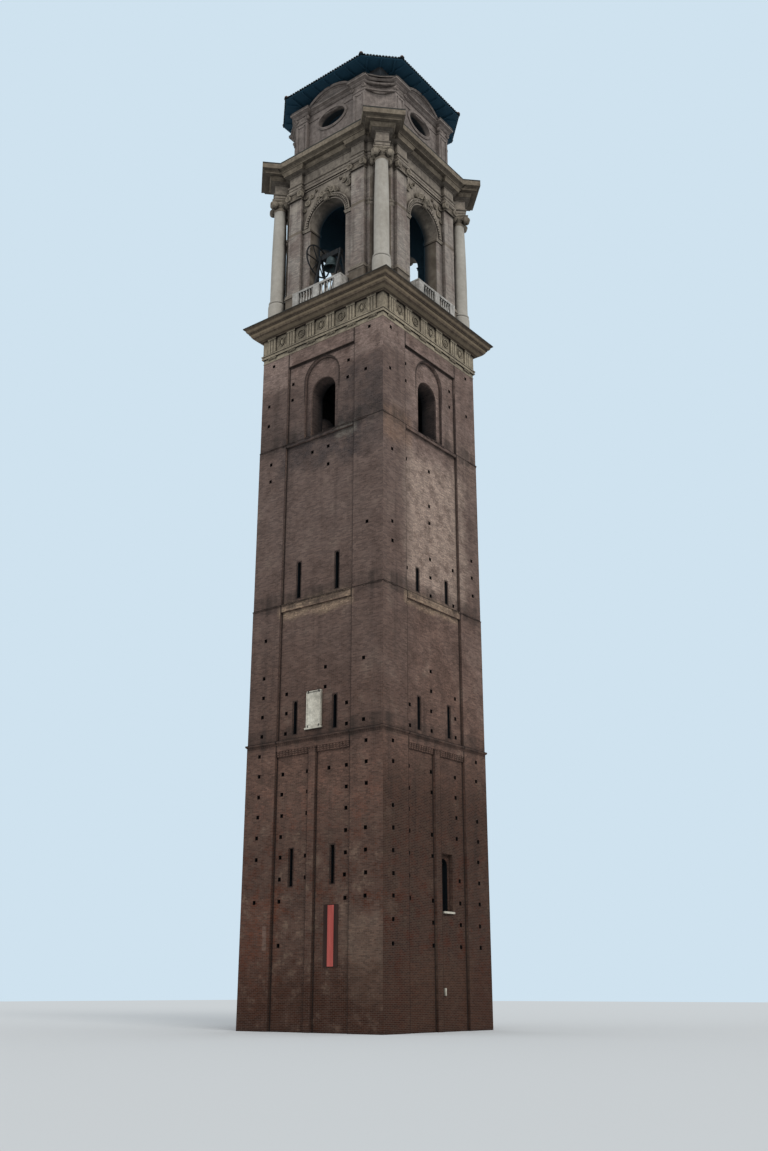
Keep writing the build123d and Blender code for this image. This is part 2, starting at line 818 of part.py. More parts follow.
# Sill of the rectangular window, marble plaque and hanging banner
with BuildPart() as window_sill:
    with BuildSketch(face(turns["right"], stage_halves[0] - panel_depth - square_recess_depth)):
        upright(
            square_recess_from, square_recess_foot,
            square_recess_to - square_recess_from, sill_thickness,
        )
    extrude(amount=square_recess_depth + sill_projection)
save(window_sill, "window_sill")

with BuildPart() as marble_plaque:
    with BuildSketch(face(turns["front"], stage_halves[1] - panel_depth)):
        upright(-plaque_width / 2, stage_feet[1] + plaque_foot, plaque_width, plaque_height)
    extrude(amount=plaque_thickness)
save(marble_plaque, "marble_plaque")

with BuildPart() as banner:
    with BuildSketch(face(turns["front"], stage_halves[0] - panel_depth)):
        upright(banner_from, banner_foot, banner_width, banner_height)
    extrude(amount=banner_thickness)
save(banner, "banner")

# Bell, turned about its own upright axis
axis_height = terrace + bell_axis_rise
headstock_foot = axis_height - headstock_height / 2
bell_foot = headstock_foot - bell_body_height
bell_shoulder = headstock_foot - bell_shoulder_drop
bell_middle = Plane(origin=(bell_x, bell_y, 0), x_dir=(1, 0, 0), z_dir=(0, -1, 0))
with BuildPart() as bell:
    with BuildSketch(bell_middle):
        with BuildLine():
            Polyline(
                (0, headstock_foot),
                (bell_crown_radius, headstock_foot),
                (bell_shoulder_radius, bell_shoulder),
                (bell_waist_radius, bell_foot + bell_waist_height),
                (bell_mouth_radius, bell_foot),
                (bell_mouth_radius - bell_lip_thickness, bell_foot),
                (bell_waist_radius - bell_skin, bell_foot + bell_waist_height),
                (bell_shoulder_radius - bell_skin, bell_shoulder - bell_skin),
                (0, bell_shoulder - bell_skin),
                close=True,
            )
        make_face()
    revolve(axis=Axis((bell_x, bell_y, 0), (0, 0, 1)))
save(bell, "bell")

with BuildPart() as bell_clapper:
    clapper_foot = bell_foot + clapper_drop
    clapper_ball_top = clapper_foot + clapper_ball_height
    with BuildSketch(bell_middle):
        with BuildLine():
            Polyline(
                (0, clapper_foot),
                (clapper_ball_radius - clapper_ball_edge, clapper_foot),
                (clapper_ball_radius, clapper_foot + clapper_ball_edge),
                (clapper_ball_radius, clapper_ball_top - clapper_ball_edge),
                (clapper_rod_radius, clapper_ball_top),
                (clapper_rod_radius, bell_shoulder - bell_skin),
                (0, bell_shoulder - bell_skin),
                close=True,
            )
        make_face()
    revolve(axis=Axis((bell_x, bell_y, 0), (0, 0, 1)))
save(bell_clapper, "bell_clapper")

# Headstock with the axle on both sides, running in the trestles and carrying the wheel
trestle_xs = (bell_x - trestle_offset, bell_x + trestle_offset)
with BuildPart() as bell_headstock:
    with Locations((bell_x, bell_y, axis_height)):
        Box(headstock_length, headstock_width, headstock_height)
    axle_from = wheel_x - wheel_thickness
    axle_to = trestle_xs[1] + trestle_thickness / 2
    with BuildSketch(Plane(origin=(axle_from, bell_y, axis_height), z_dir=(1, 0, 0))):
        Circle(axle_radius)
    extrude(amount=axle_to - axle_from)
save(bell_headstock, "bell_headstock")

# Rope wheel on the axle
with BuildPart() as bell_wheel:
    wheel_plane = Plane(origin=(wheel_x, bell_y, axis_height), x_dir=(0, 1, 0), z_dir=(1, 0, 0))
    with BuildSketch(wheel_plane):
        Circle(wheel_radius)
        Circle(wheel_radius - wheel_rim, mode=Mode.SUBTRACT)
        for angle in (0, 60, 120):
            Rectangle(2 * wheel_radius - wheel_rim, wheel_spoke, rotation=angle)
        Circle(wheel_hub_radius)
        Circle(axle_radius, mode=Mode.SUBTRACT)
    extrude(amount=wheel_thickness / 2, both=True)
save(bell_wheel, "bell_wheel")

# Trestles that carry the axle: two sloping legs, a tie and a bearing block each
with BuildPart() as bell_frame:
    for trestle_x in trestle_xs:
        trestle_plane = Plane(origin=(trestle_x, bell_y, 0), x_dir=(0, 1, 0), z_dir=(1, 0, 0))
        with BuildSketch(trestle_plane):
            for side in (-1, 1):
                foot_u = side * trestle_spread
                with BuildLine():
                    Polyline(
                        (foot_u - leg_width / 2, terrace),
                        (foot_u + leg_width / 2, terrace),
                        (side * leg_width / 2 + leg_width / 2, axis_height),
                        (side * leg_width / 2 - leg_width / 2, axis_height),
                        close=True,
                    )
                make_face()
            with Locations((0, terrace + tie_rise)):
                Rectangle(2 * tie_reach, leg_width)
            with Locations((0, axis_height)):
                Rectangle(2 * bearing_half, 2 * bearing_half)
            with Locations((0, axis_height)):
                Circle(axle_radius + axle_clearance, mode=Mode.SUBTRACT)
        extrude(amount=trestle_thickness / 2, both=True)
    for side in (-1, 1):
        with Locations((bell_x, bell_y + side * trestle_spread, terrace + leg_width / 2)):
            Box(2 * trestle_offset, leg_width, leg_width)
save(bell_frame, "bell_frame")
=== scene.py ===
"""Half-size bell tower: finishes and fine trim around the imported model. Metres, +Z up, front towards -Y."""

import math
import random

import bmesh
import bpy
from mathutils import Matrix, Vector


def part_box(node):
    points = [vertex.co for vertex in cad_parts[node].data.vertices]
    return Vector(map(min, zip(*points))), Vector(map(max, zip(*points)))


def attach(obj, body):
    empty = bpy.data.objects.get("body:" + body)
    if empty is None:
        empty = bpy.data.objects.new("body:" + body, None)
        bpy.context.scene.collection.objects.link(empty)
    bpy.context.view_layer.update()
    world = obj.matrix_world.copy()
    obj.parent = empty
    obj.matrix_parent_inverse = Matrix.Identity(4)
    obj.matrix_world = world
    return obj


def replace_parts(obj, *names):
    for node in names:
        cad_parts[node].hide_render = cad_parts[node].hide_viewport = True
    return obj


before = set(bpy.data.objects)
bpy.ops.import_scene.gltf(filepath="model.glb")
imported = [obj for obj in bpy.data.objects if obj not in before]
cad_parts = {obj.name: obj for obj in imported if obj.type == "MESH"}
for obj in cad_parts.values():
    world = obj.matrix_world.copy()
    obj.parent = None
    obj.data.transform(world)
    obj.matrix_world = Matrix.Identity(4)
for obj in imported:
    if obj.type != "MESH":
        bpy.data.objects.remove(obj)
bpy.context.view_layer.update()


def add_object(name, data):
    """Puts new data in the scene as an object."""
    item = bpy.data.objects.new(name, data)
    bpy.context.scene.collection.objects.link(item)
    return item


# Camera, at the eye height and angle of the photograph
CAMERA_PLACE = Vector((19.863, -25.061, 0.933))
CAMERA_LOOK = Vector((-0.574, 0.7457, 0.3386))
LENS = 36.2
camera_data = bpy.data.cameras.new("camera")
camera_data.lens = LENS
camera_data.sensor_width = 36.0
camera_data.clip_end = 500.0
camera = add_object("camera", camera_data)
camera.location = CAMERA_PLACE
camera.rotation_euler = CAMERA_LOOK.to_track_quat("-Z", "Y").to_euler()
bpy.context.scene.camera = camera

# Sizes read from the frame
TURNS = {"front": 0, "right": 90, "back": 180, "left": 270}
wall_half = [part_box(f"front_wall_{stage}")[1][0] for stage in (1, 2, 3, 4)]
wall_foot = [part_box(f"front_wall_{stage}")[0][2] for stage in (1, 2, 3, 4)]
wall_top = [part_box(f"front_wall_{stage}")[1][2] for stage in (1, 2, 3, 4)]
frieze_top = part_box("doric_frieze")[1][2]
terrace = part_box("main_cornice")[1][2]
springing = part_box("belfry_arches")[0][2]
belfry_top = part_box("belfry_entablature")[0][2]
cornice_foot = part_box("belfry_cornice")[0][2]
attic_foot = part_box("belfry_cornice")[1][2]
attic_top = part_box("attic_cornice")[0][2]
attic_cornice_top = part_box("attic_cornice")[1][2]
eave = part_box("roof")[0][2]
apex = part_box("roof")[1][2]

# Sizes of the solids that boxes don't give
PANEL_HALF = 1.283
PANEL_DEPTH = 0.067
PANEL_HEADS = (0.205, 0.205, 0.1, 0.475)
CENTRE_LESENE = 0.125
SLIT_PLACE = 0.695
NICHE = (0.64, 1.9)
BELFRY_HALF = 2.13
BELFRY_ROOM = 1.655
CORNER_REACH = 2.6587
RESPOND = (0.205, 2.7087)
ARCH_RADIUS = 0.72
PILASTER = (1.03, 1.53)
PILASTER_FACE = 2.25
PEDESTAL_RISE = 0.84
CAPITAL_RISE = 0.35
IMPOST_RISE = 0.1
CHAMFER_FROM = 1.63
BLOCK_HALF = 0.205
BLOCK_REACH = 3.1537
COLUMN_REACH = 2.9487
ENTABLATURE_FACE = 2.155
ATTIC_FACE = 2.15
ATTIC_WALL = 2.025
ATTIC_ROOM = 1.56
ATTIC_PILASTER = (0.975, 1.45)
ATTIC_SAGITTA = 0.17
UPPER_ATTIC = 1.82
OCULUS = (0.555, 0.315)
OCULUS_RISE = 1.35
PEDIMENT_RISE = 0.44
EAVE_HALF = 2.53
EAVE_CHAMFER = 0.93
panel_tops = [top - head for top, head in zip(wall_top, PANEL_HEADS)]
# Slits: lowest and highest point; 1.0 for all sides, None for the front and back alone
SLIT_HEIGHTS = (
    (3.475, 4.425, None),
    (wall_foot[1] + 0.145, wall_foot[1] + 1.045, 1.0),
    (wall_foot[2] + 0.125, wall_foot[2] + 0.815, 1.0),
    (wall_foot[2] + 0.815, wall_foot[2] + 1.2, None),
)


def linear(red, green, blue):
    """Linear colour of an sRGB colour given in steps of 0 to 255."""
    parts = [value / 255 for value in (red, green, blue)]
    return tuple(p / 12.92 if p <= 0.04045 else ((p + 0.055) / 1.055) ** 2.4 for p in parts) + (1.0,)


class Value:
    """Output of a shader node, with the arithmetic that the finishes use."""

    def __init__(self, finish, socket):
        self.finish = finish
        self.socket = socket

    def __add__(self, other):
        return self.finish.math("ADD", self, other)

    def __sub__(self, other):
        return self.finish.math("SUBTRACT", self, other)

    def __mul__(self, other):
        return self.finish.math("MULTIPLY", self, other)

    def __gt__(self, other):
        return self.finish.math("GREATER_THAN", self, other)

    def __lt__(self, other):
        return self.finish.math("LESS_THAN", self, other)

    def __abs__(self):
        return self.finish.math("ABSOLUTE", self)

    def least(self, other):
        return self.finish.math("MINIMUM", self, other)

    def most(self, other):
        return self.finish.math("MAXIMUM", self, other)

    def span(self, low, high, start=0.0, end=1.0):
        """Maps low to high onto start to end, smoothly and clamped."""
        node = self.finish.nodes.new("ShaderNodeMapRange")
        node.interpolation_type = "SMOOTHSTEP"
        for socket, part in zip(node.inputs, (self, low, high, start, end)):
            self.finish.feed(socket, part)
        return Value(self.finish, node.outputs[0])

    def within(self, low, high, soft):
        """1 inside low to high, falling to 0 over soft on both sides."""
        return self.span(low - soft, low) * self.span(high, high + soft, 1.0, 0.0)


class Finish:
    """One material whose colour, the base, is built up in layers."""

    def __init__(self, name, rough=0.85, metal=0.0, specular=0.25):
        self.material = bpy.data.materials.new(name)
        self.material.use_nodes = True
        self.nodes = self.material.node_tree.nodes
        self.links = self.material.node_tree.links
        self.shader = self.nodes["Principled BSDF"].inputs
        self.shader["Roughness"].default_value = rough
        self.shader["Metallic"].default_value = metal
        self.shader["Specular IOR Level"].default_value = specular
        coordinates = self.nodes.new("ShaderNodeTexCoord").outputs
        self.place = coordinates["Object"]
        self.x, self.y, self.z = self.split(self.place)
        self.nx, self.ny, self.nz = self.split(coordinates["Normal"])
        self.base = None

    def feed(self, socket, value):
        if isinstance(value, Value):
            self.links.new(value.socket, socket)
        else:
            socket.default_value = value

    def split(self, vector):
        node = self.nodes.new("ShaderNodeSeparateXYZ")
        self.links.new(vector, node.inputs[0])
        return [Value(self, output) for output in node.outputs]

    def math(self, operation, *values):
        node = self.nodes.new("ShaderNodeMath")
        node.operation = operation
        for socket, value in zip(node.inputs, values):
            self.feed(socket, value)
        return Value(self, node.outputs[0])

    def noise(self, scale, detail, rough, stretch=(1.0, 1.0, 1.0)):
        mapping = self.nodes.new("ShaderNodeMapping")
        mapping.inputs["Scale"].default_value = stretch
        self.links.new(self.place, mapping.inputs["Vector"])
        node = self.nodes.new("ShaderNodeTexNoise")
        for name, value in (("Scale", scale), ("Detail", detail), ("Roughness", rough)):
            node.inputs[name].default_value = value
        self.links.new(mapping.outputs[0], node.inputs["Vector"])
        return Value(self, node.outputs["Fac"])

    def mix(self, share, first, second, blend="MIX"):
        node = self.nodes.new("ShaderNodeMix")
        node.data_type = "RGBA"
        node.blend_type = blend
        for index, value in ((0, share), (6, first), (7, second)):
            self.feed(node.inputs[index], value)
        return Value(self, node.outputs[2])

    def lay(self, colour, share):
        """Lays a colour over the base."""
        self.base = self.mix(share, self.base, colour)

    def multiply(self, factor, share=1.0):
        """Multiplies the base by a value or a colour."""
        self.base = self.mix(share, self.base, factor, "MULTIPLY")

    def reach(self):
        """Distance from the middle of the tower, square on to its sides."""
        return abs(self.x).most(abs(self.y))

    def along(self):
        """Distance along the wall, the same on opposite sides."""
        sideways = abs(self.nx) > abs(self.ny)
        return self.y * sideways + self.x * (sideways * -1.0 + 1.0)

    def hollows(self, distance):
        """0 on open faces, rising to 1 deep in the hollows: ambient occlusion, used to paint shade there."""
        node = self.nodes.new("ShaderNodeAmbientOcclusion")
        node.samples = 6
        node.inputs["Distance"].default_value = distance
        return Value(self, node.outputs["AO"]).span(0.35, 0.95, 1.0, 0.0)

    def done(self, relief, distance):
        """Puts the base and a bump of the relief on the shader, and gives the material."""
        self.feed(self.shader["Base Color"], self.base)
        node = self.nodes.new("ShaderNodeBump")
        node.inputs["Strength"].default_value = 1.0
        node.inputs["Distance"].default_value = distance
        self.feed(node.inputs["Height"], relief)
        self.links.new(node.outputs[0], self.shader["Normal"])
        return self.material


# Brickwork: courses over the whole tower, redder below, greyer above, with stains, worn patches and painted
# shade
COURSES = {
    "Scale": 1.0,
    "Brick Width": 0.135,
    "Row Height": 0.04,
    "Mortar Size": 0.0045,
    "Mortar Smooth": 0.3,
    "Color1": (0.74, 0.73, 0.73, 1.0),
    "Color2": (1.26, 1.23, 1.2, 1.0),
    "Mortar": (1.0, 1.0, 1.0, 1.0),
}
# Painted shade: inside the belfry, in the rooms, in the reveals, and in hollows, under mouldings and along
# edges
BELFRY_SHADE = linear(14, 21, 26)
ROOM_GLOOM = linear(46, 70, 84)
REVEAL_GLOOM = linear(40, 46, 50)
PAINTED_SHADE = linear(34, 29, 27)


def courses(finish, joint, share):
    """Bricks of different tones with their joints, over the base. Returns the joints."""
    flat = finish.nodes.new("ShaderNodeCombineXYZ")
    finish.feed(flat.inputs[0], finish.along())
    finish.feed(flat.inputs[1], finish.z)
    bricks = finish.nodes.new("ShaderNodeTexBrick")
    finish.links.new(flat.outputs[0], bricks.inputs["Vector"])
    for name, value in COURSES.items():
        bricks.inputs[name].default_value = value
    finish.multiply(Value(finish, bricks.outputs["Color"]))
    joints = Value(finish, bricks.outputs["Fac"])
    finish.lay(joint, joints * share)
    return joints


def brickwork(name, low, high, joint):
    """Old brick: two tones by height, worn, streaked and stained, with joints, and painted shade in the
    hollows, reveals and rooms.
    """
    finish = Finish(name, rough=0.92, specular=0.15)
    broad = finish.noise(0.35, 5.0, 0.6)
    patches = finish.noise(1.3, 6.0, 0.65)
    blotches = finish.noise(3.2, 6.0, 0.7)
    mottle = finish.noise(18.0, 6.0, 0.75, (1.0, 1.0, 1.3))
    grain = finish.noise(38.0, 6.0, 0.7)
    streaks = finish.noise(1.0, 5.0, 0.6, (2.6, 2.6, 0.16))
    height = finish.z + (broad * 9.0 - 4.5)
    finish.base = finish.mix(height.span(6.0, 15.0), low, high)
    finish.lay(linear(70, 52, 46), patches.span(0.4, 0.7, 0.0, 0.5))
    finish.lay(linear(140, 124, 112), patches.span(0.45, 0.28, 0.0, 0.35))
    finish.lay(linear(50, 42, 40), streaks.span(0.5, 0.74, 0.0, 0.45))
    finish.multiply(mottle.span(0.3, 0.7, 0.76, 1.24))
    finish.multiply(blotches.span(0.3, 0.7, 0.78, 1.2))
    low_down = finish.z.span(7.5, 2.5)
    finish.lay(linear(98, 52, 35), blotches.span(0.5, 0.64, 0.0, 0.85) * low_down)
    finish.lay(linear(134, 114, 98), blotches.span(0.46, 0.32, 0.0, 0.5) * low_down)
    stains_and_shade(finish, patches, blotches, mottle)
    joints = courses(finish, joint, 0.5)
    ledge_shade_and_damp(finish, streaks, mottle)
    # Painted shade in the hollows, from ambient occlusion.
    finish.lay(PAINTED_SHADE, finish.hollows(0.1) * 0.6)
    gloom(finish)
    return finish.done(joints * -0.8 + grain, 0.006)


# Stains, worn places and painted shade: side, range along the wall, range of height, soft edge, colour and
# strength
PALE_BRICK = linear(152, 134, 126)
YELLOW_BRICK = linear(186, 162, 136)
WORN_BRICK = linear(196, 176, 160)
DARK_BRICK = linear(40, 37, 38)
SHADED_BRICK = linear(62, 54, 52)
DAMP_BRICK = linear(56, 31, 20)
RIGHT_FACE_SHADE = (0.44, 0.39, 0.36, 1.0)
STAINS_AND_SHADE = (
    ("front", (1.22, 2.4), (18.35, 19.3), 0.22, PALE_BRICK, 0.75),
    ("front", (-2.4, -1.25), (18.2, 19.3), 0.2, PALE_BRICK, 0.7),
    ("front", (-2.4, 2.4), (7.6, 16.6), 1.2, SHADED_BRICK, 0.5),
    ("front", (-2.4, 2.4), (16.2, 17.8), 0.5, DARK_BRICK, 0.6),
    ("front", (-1.28, 1.28), (15.4, 16.2), 0.5, linear(46, 46, 50), 0.85),
    ("front", (1.2, 2.4), (15.4, 17.9), 0.6, linear(46, 46, 50), 0.6),
    ("front", (0.7, 1.28), (15.9, 16.12), 0.2, linear(136, 131, 122), 0.7),
    ("front", (-1.1, 1.2), (10.88, 11.05), 0.3, YELLOW_BRICK, 0.85),
    ("front", (0.75, 1.35), (1.75, 2.75), 0.3, linear(142, 122, 108), 0.5),
    ("front", (1.6, 2.25), (0.8, 1.9), 0.35, linear(132, 112, 98), 0.4),
    ("front", (-1.53, -1.45), (1.95, 2.5), 0.05, linear(170, 160, 150), 0.7),
    ("right", (-2.4, -1.2), (18.45, 19.3), 0.25, PALE_BRICK, 0.7),
    ("right", (-2.2, -1.1), (15.55, 16.3), 0.3, linear(164, 130, 106), 0.6),
    ("right", (-1.0, 1.3), (11.7, 15.1), 0.6, WORN_BRICK, 0.72),
    ("right", (-1.35, 1.3), (11.3, 15.6), 0.3, PALE_BRICK, 0.3),
    ("right", (1.35, 2.4), (11.2, 15.0), 0.4, SHADED_BRICK, 0.3),
    ("right", (-1.1, 0.9), (16.8, 18.8), 0.3, PALE_BRICK, 0.5),
    ("right", (-2.4, -1.25), (7.6, 18.2), 0.5, SHADED_BRICK, 0.45),
    ("right", (1.28, 2.4), (15.1, 16.5), 0.35, linear(150, 132, 118), 0.25),
    ("right", (-1.28, 1.1), (10.9, 11.1), 0.2, YELLOW_BRICK, 0.8),
    ("front", (-2.4, 2.4), (-1.0, 4.2), 1.6, linear(50, 36, 30), 0.68),
    ("front", (-2.4, 2.4), (-1.0, 0.9), 0.8, linear(50, 31, 23), 0.8),
    ("front", (-2.4, -1.3), (0.7, 3.0), 0.5, linear(112, 62, 42), 0.4),
    ("front", (1.45, 2.4), (0.9, 2.3), 0.5, linear(126, 108, 95), 0.6),
    ("right", (1.3, 2.4), (0.2, 1.5), 0.5, linear(104, 58, 40), 0.5),
    ("right", (-1.2, 1.2), (0.3, 1.3), 0.6, linear(150, 126, 108), 0.45),
)


def stains_and_shade(finish, patches, blotches, mottle):
    """Lays the stained and worn places and the painted shade of the table over the brick, with ragged edges,
    paints shade on the lower right face, and lays the damp at the foot.
    """
    sides = {"front": (finish.ny * -1.0, finish.x), "right": (finish.nx, finish.y)}
    wander = patches * 1.3 - 0.65
    broken = mottle.span(0.3, 0.65, 0.3, 1.0) * blotches.span(0.34, 0.6, 0.25, 1.0)
    for side, span_along, span_up, soft, colour, strength in STAINS_AND_SHADE:
        facing, along = sides[side]
        drift = wander * (soft * 1.6)
        place = (along + drift).within(*span_along, soft) * (finish.z + drift).within(*span_up, soft)
        finish.lay(colour, (facing > 0.5) * place * broken * strength)
    height = finish.z + wander * 1.5
    # Painted shade: the lower part of the right face darker.
    finish.multiply(RIGHT_FACE_SHADE, (finish.nx > 0.5) * height.span(7.4, 5.4))
    uneven = blotches.span(0.32, 0.6, 0.55, 1.0)
    finish.lay(DAMP_BRICK, height.span(2.6, 0.5, 0.0, 0.75) * uneven)


def ledge_shade_and_damp(finish, streaks, mottle):
    """Painted shadow lines where the lesenes stand against the panels, round the niche, under the panel
    heads, beside the slits and at the ledges, and damp round the ledges.
    """
    z = finish.z
    side = abs(finish.along())
    ragged = mottle.span(0.25, 0.6, 0.35, 0.9)
    niche_foot = wall_foot[3]
    up = (z - (niche_foot + NICHE[1])).most(0.0)
    from_niche = finish.math("SQRT", side * side + up * up)
    niche_line = from_niche.within(NICHE[0] - 0.01, NICHE[0] + 0.035, 0.025)
    niche_line = niche_line * z.span(niche_foot + 1.0, niche_foot + 1.6)
    head = z.within(panel_tops[3] - 0.05, panel_tops[3] + 0.004, 0.02) * (side < PANEL_HALF)
    centre = side.within(CENTRE_LESENE - 0.004, CENTRE_LESENE + 0.025, 0.015) * (z < panel_tops[0])
    line = side.within(PANEL_HALF - 0.03, PANEL_HALF + 0.004, 0.02)
    # Painted shadow lines along the lesenes, round the niche and under the panel heads.
    finish.lay(PAINTED_SHADE, line.most(niche_line).most(head).most(centre) * ragged)
    # Painted shade beside the slits.
    lengthwise = abs(finish.ny) > 0.5
    beside_slit = side.within(SLIT_PLACE - 0.09, SLIT_PLACE + 0.09, 0.02)
    for low, high, share in SLIT_HEIGHTS:
        rim = beside_slit * z.within(low, high, 0.05) * ragged * 0.9
        finish.lay(PAINTED_SHADE, rim * (share or lengthwise))
    for ledge in wall_foot[1:]:
        damp = z.within(ledge - 0.12, ledge + 0.3, 0.12) * streaks.span(0.35, 0.65, 0.1, 0.55)
        finish.lay(linear(46, 42, 39), damp)
        # Painted shadow line at each ledge.
        finish.lay(PAINTED_SHADE, z.within(ledge - 0.012, ledge + 0.012, 0.012) * ragged)


# How deep the light reaches into the walls: openings of stages 1 to 3, niches of stage 4, belfry, attic
SLIT_LIMIT = (2.262, 2.25)
RECESS_LIMIT = (2.178, 2.165)
NICHE_EDGE = (2.16, 2.1)
NICHE_LIMIT = (2.02, 1.6)
BELFRY_LIMIT = (1.95, 1.66)
ATTIC_LIMIT = (1.93, 1.84)


def gloom(finish):
    """Paints shade into reveals and rooms, darker the further in they lie."""
    x, y, z = finish.x, finish.y, finish.z
    reach = finish.reach()
    in_belfry = z > terrace - 0.3
    niche = reach.span(*NICHE_LIMIT, 0.0, 0.45) + reach.span(*NICHE_EDGE, 0.0, 0.5)
    oculus = reach.span(*ATTIC_LIMIT) * (abs(x).least(abs(y)) < 1.0)
    attic = oculus.most(reach < ATTIC_ROOM + 0.02)
    in_recess = (x > abs(y)) * (z < wall_top[0])
    dark = finish.mix(in_recess, reach.span(*SLIT_LIMIT), reach.span(*RECESS_LIMIT))
    dark = finish.mix(z > wall_foot[3], dark, niche)
    dark = finish.mix(in_belfry, dark, reach.span(*BELFRY_LIMIT))
    dark = finish.mix(z > attic_foot - 0.2, dark, attic)
    tone = finish.mix(reach > BELFRY_ROOM + 0.01, ROOM_GLOOM, REVEAL_GLOOM)
    finish.lay(finish.mix(in_belfry, BELFRY_SHADE, tone), dark)


def stonework(
    name, colour, shade, rough=0.85, streaky=0.5, grimy=0.5, hollow=0.85, blot=0.28, under=0.55, bands=(),
):
    """Weathered stone or stucco: pale faces, dark runs of dirt, and painted shade in the hollows and on faces
    turned down.
    """
    finish = Finish(name, rough=rough, specular=0.2)
    broad = finish.noise(0.9, 6.0, 0.62)
    blots = finish.noise(8.0, 5.0, 0.7)
    fine = finish.noise(26.0, 8.0, 0.7)
    streaks = finish.noise(2.2, 6.0, 0.62, (2.4, 2.4, 0.22))
    finish.base = finish.mix(broad.span(0.34, 0.7, 0.0, 0.55), colour, shade)
    finish.lay(shade, streaks.span(0.5, 0.72, 0.0, streaky))
    finish.lay(shade, fine.span(0.45, 0.75, 0.0, grimy))
    finish.multiply(blots.span(0.3, 0.7, 1.0 - blot, 1.0 + blot))
    # Painted shade in the hollows, from ambient occlusion, and on faces turned down.
    finish.lay(PAINTED_SHADE, finish.hollows(0.2) * hollow)
    finish.lay(PAINTED_SHADE, finish.nz.span(-0.6, -0.95, 0.0, under))
    # Bands of painted shadow and painted light across the faces.
    for low, high, tone, share in bands:
        finish.lay(tone, finish.z.within(low, high, 0.006) * fine.span(0.3, 0.6, 0.5, 1.0) * share)
    edge_lines(finish)
    gloom(finish)
    return finish.done(fine, 0.005)


def edge_lines(finish):
    """Dark weathered top edges of the cornices."""
    upright = abs(finish.nz).span(0.3, 0.6, 1.0, 0.0)
    for top in (terrace, attic_foot, attic_cornice_top):
        finish.lay(linear(38, 42, 42), finish.z.within(top - 0.045, top + 0.01, 0.015) * upright * 0.9)


def masonry(name):
    """Brick piers of the belfry, with stucco on the pedestals, capitals, imposts and reveals, and painted
    shade in the hollows and the room.
    """
    finish = Finish(name, rough=0.9, specular=0.15)
    patches = finish.noise(1.3, 6.0, 0.65)
    mottle = finish.noise(22.0, 6.0, 0.75)
    grain = finish.noise(38.0, 6.0, 0.7)
    streaks = finish.noise(1.8, 5.0, 0.6, (2.6, 2.6, 0.2))
    finish.base = finish.mix(patches.span(0.35, 0.68), linear(146, 139, 132), linear(122, 110, 104))
    finish.multiply(mottle.span(0.3, 0.7, 0.82, 1.18))
    joints = courses(finish, linear(120, 112, 104), 0.45)
    stucco = finish.mix(patches.span(0.35, 0.68), linear(126, 116, 104), linear(92, 83, 74))
    plastered = finish.reach() < BELFRY_HALF - 0.02
    capital_foot = belfry_top - CAPITAL_RISE
    for low, high in (
        (terrace - 0.1, terrace + PEDESTAL_RISE), (springing - IMPOST_RISE, springing),
        (capital_foot, belfry_top),
    ):
        plastered = plastered.most(finish.z.within(low, high, 0.004))
    finish.lay(stucco, plastered)
    pale_head = finish.z.within(capital_foot - 0.35, capital_foot, 0.1)
    finish.lay(linear(168, 158, 146), pale_head * patches.span(0.6, 0.4, 0.0, 0.7))
    finish.lay(linear(66, 58, 54), streaks.span(0.5, 0.72, 0.0, 0.5))
    # Painted shade in the hollows, from ambient occlusion.
    finish.lay(PAINTED_SHADE, finish.hollows(0.2) * 0.85)
    gloom(finish)
    return finish.done(joints * -0.6 + grain, 0.005)


def tilework(name, colour, shade):
    """Fired clay roof tiles, each row a little different, with lichen, and darker, bluish ends at the eaves.
    """
    finish = Finish(name, rough=0.9, specular=0.15)
    fine = finish.noise(60.0, 6.0, 0.7)
    finish.base = finish.mix(finish.noise(9.0, 2.0, 0.5).span(0.35, 0.65), colour, shade)
    finish.lay(linear(112, 104, 88), finish.noise(1.6, 5.0, 0.6).span(0.5, 0.72, 0.0, 0.7))
    finish.lay(linear(66, 56, 50), fine.span(0.5, 0.75, 0.0, 0.4))
    finish.lay(linear(24, 36, 42), finish.z.span(eave + 0.16, eave + 0.06))
    return finish.done(fine, 0.003)


def woodwork(name, colour, shade):
    """Boards with a fine grain."""
    finish = Finish(name, rough=0.8, specular=0.2)
    grain = finish.noise(5.0, 8.0, 0.65, (1.0, 14.0, 14.0))
    finish.base = finish.mix(grain.span(0.3, 0.7), colour, shade)
    return finish.done(grain + finish.noise(60.0, 6.0, 0.7) * 0.4, 0.004)


def metalwork(name, colour, shade, rough, metal):
    """Old metal with uneven tones."""
    finish = Finish(name, rough=rough, metal=metal, specular=0.4)
    finish.base = finish.mix(finish.noise(5.0, 6.0, 0.65).span(0.35, 0.7), colour, shade)
    return finish.done(finish.noise(70.0, 6.0, 0.7), 0.0015)


def clothwork(name, colour, shade):
    """Faded cloth, darker in streaks that are the painted shade of soft folds."""
    finish = Finish(name, rough=0.95, specular=0.1)
    fold_shade = finish.noise(3.0, 4.0, 0.5, (2.0, 2.0, 0.3))
    finish.base = finish.mix(fold_shade.span(0.3, 0.7), colour, shade)
    return finish.done(finish.noise(420.0, 2.0, 0.5), 0.001)


BRICK = brickwork("brick", linear(103, 79, 69), linear(122, 104, 97), linear(110, 97, 88))
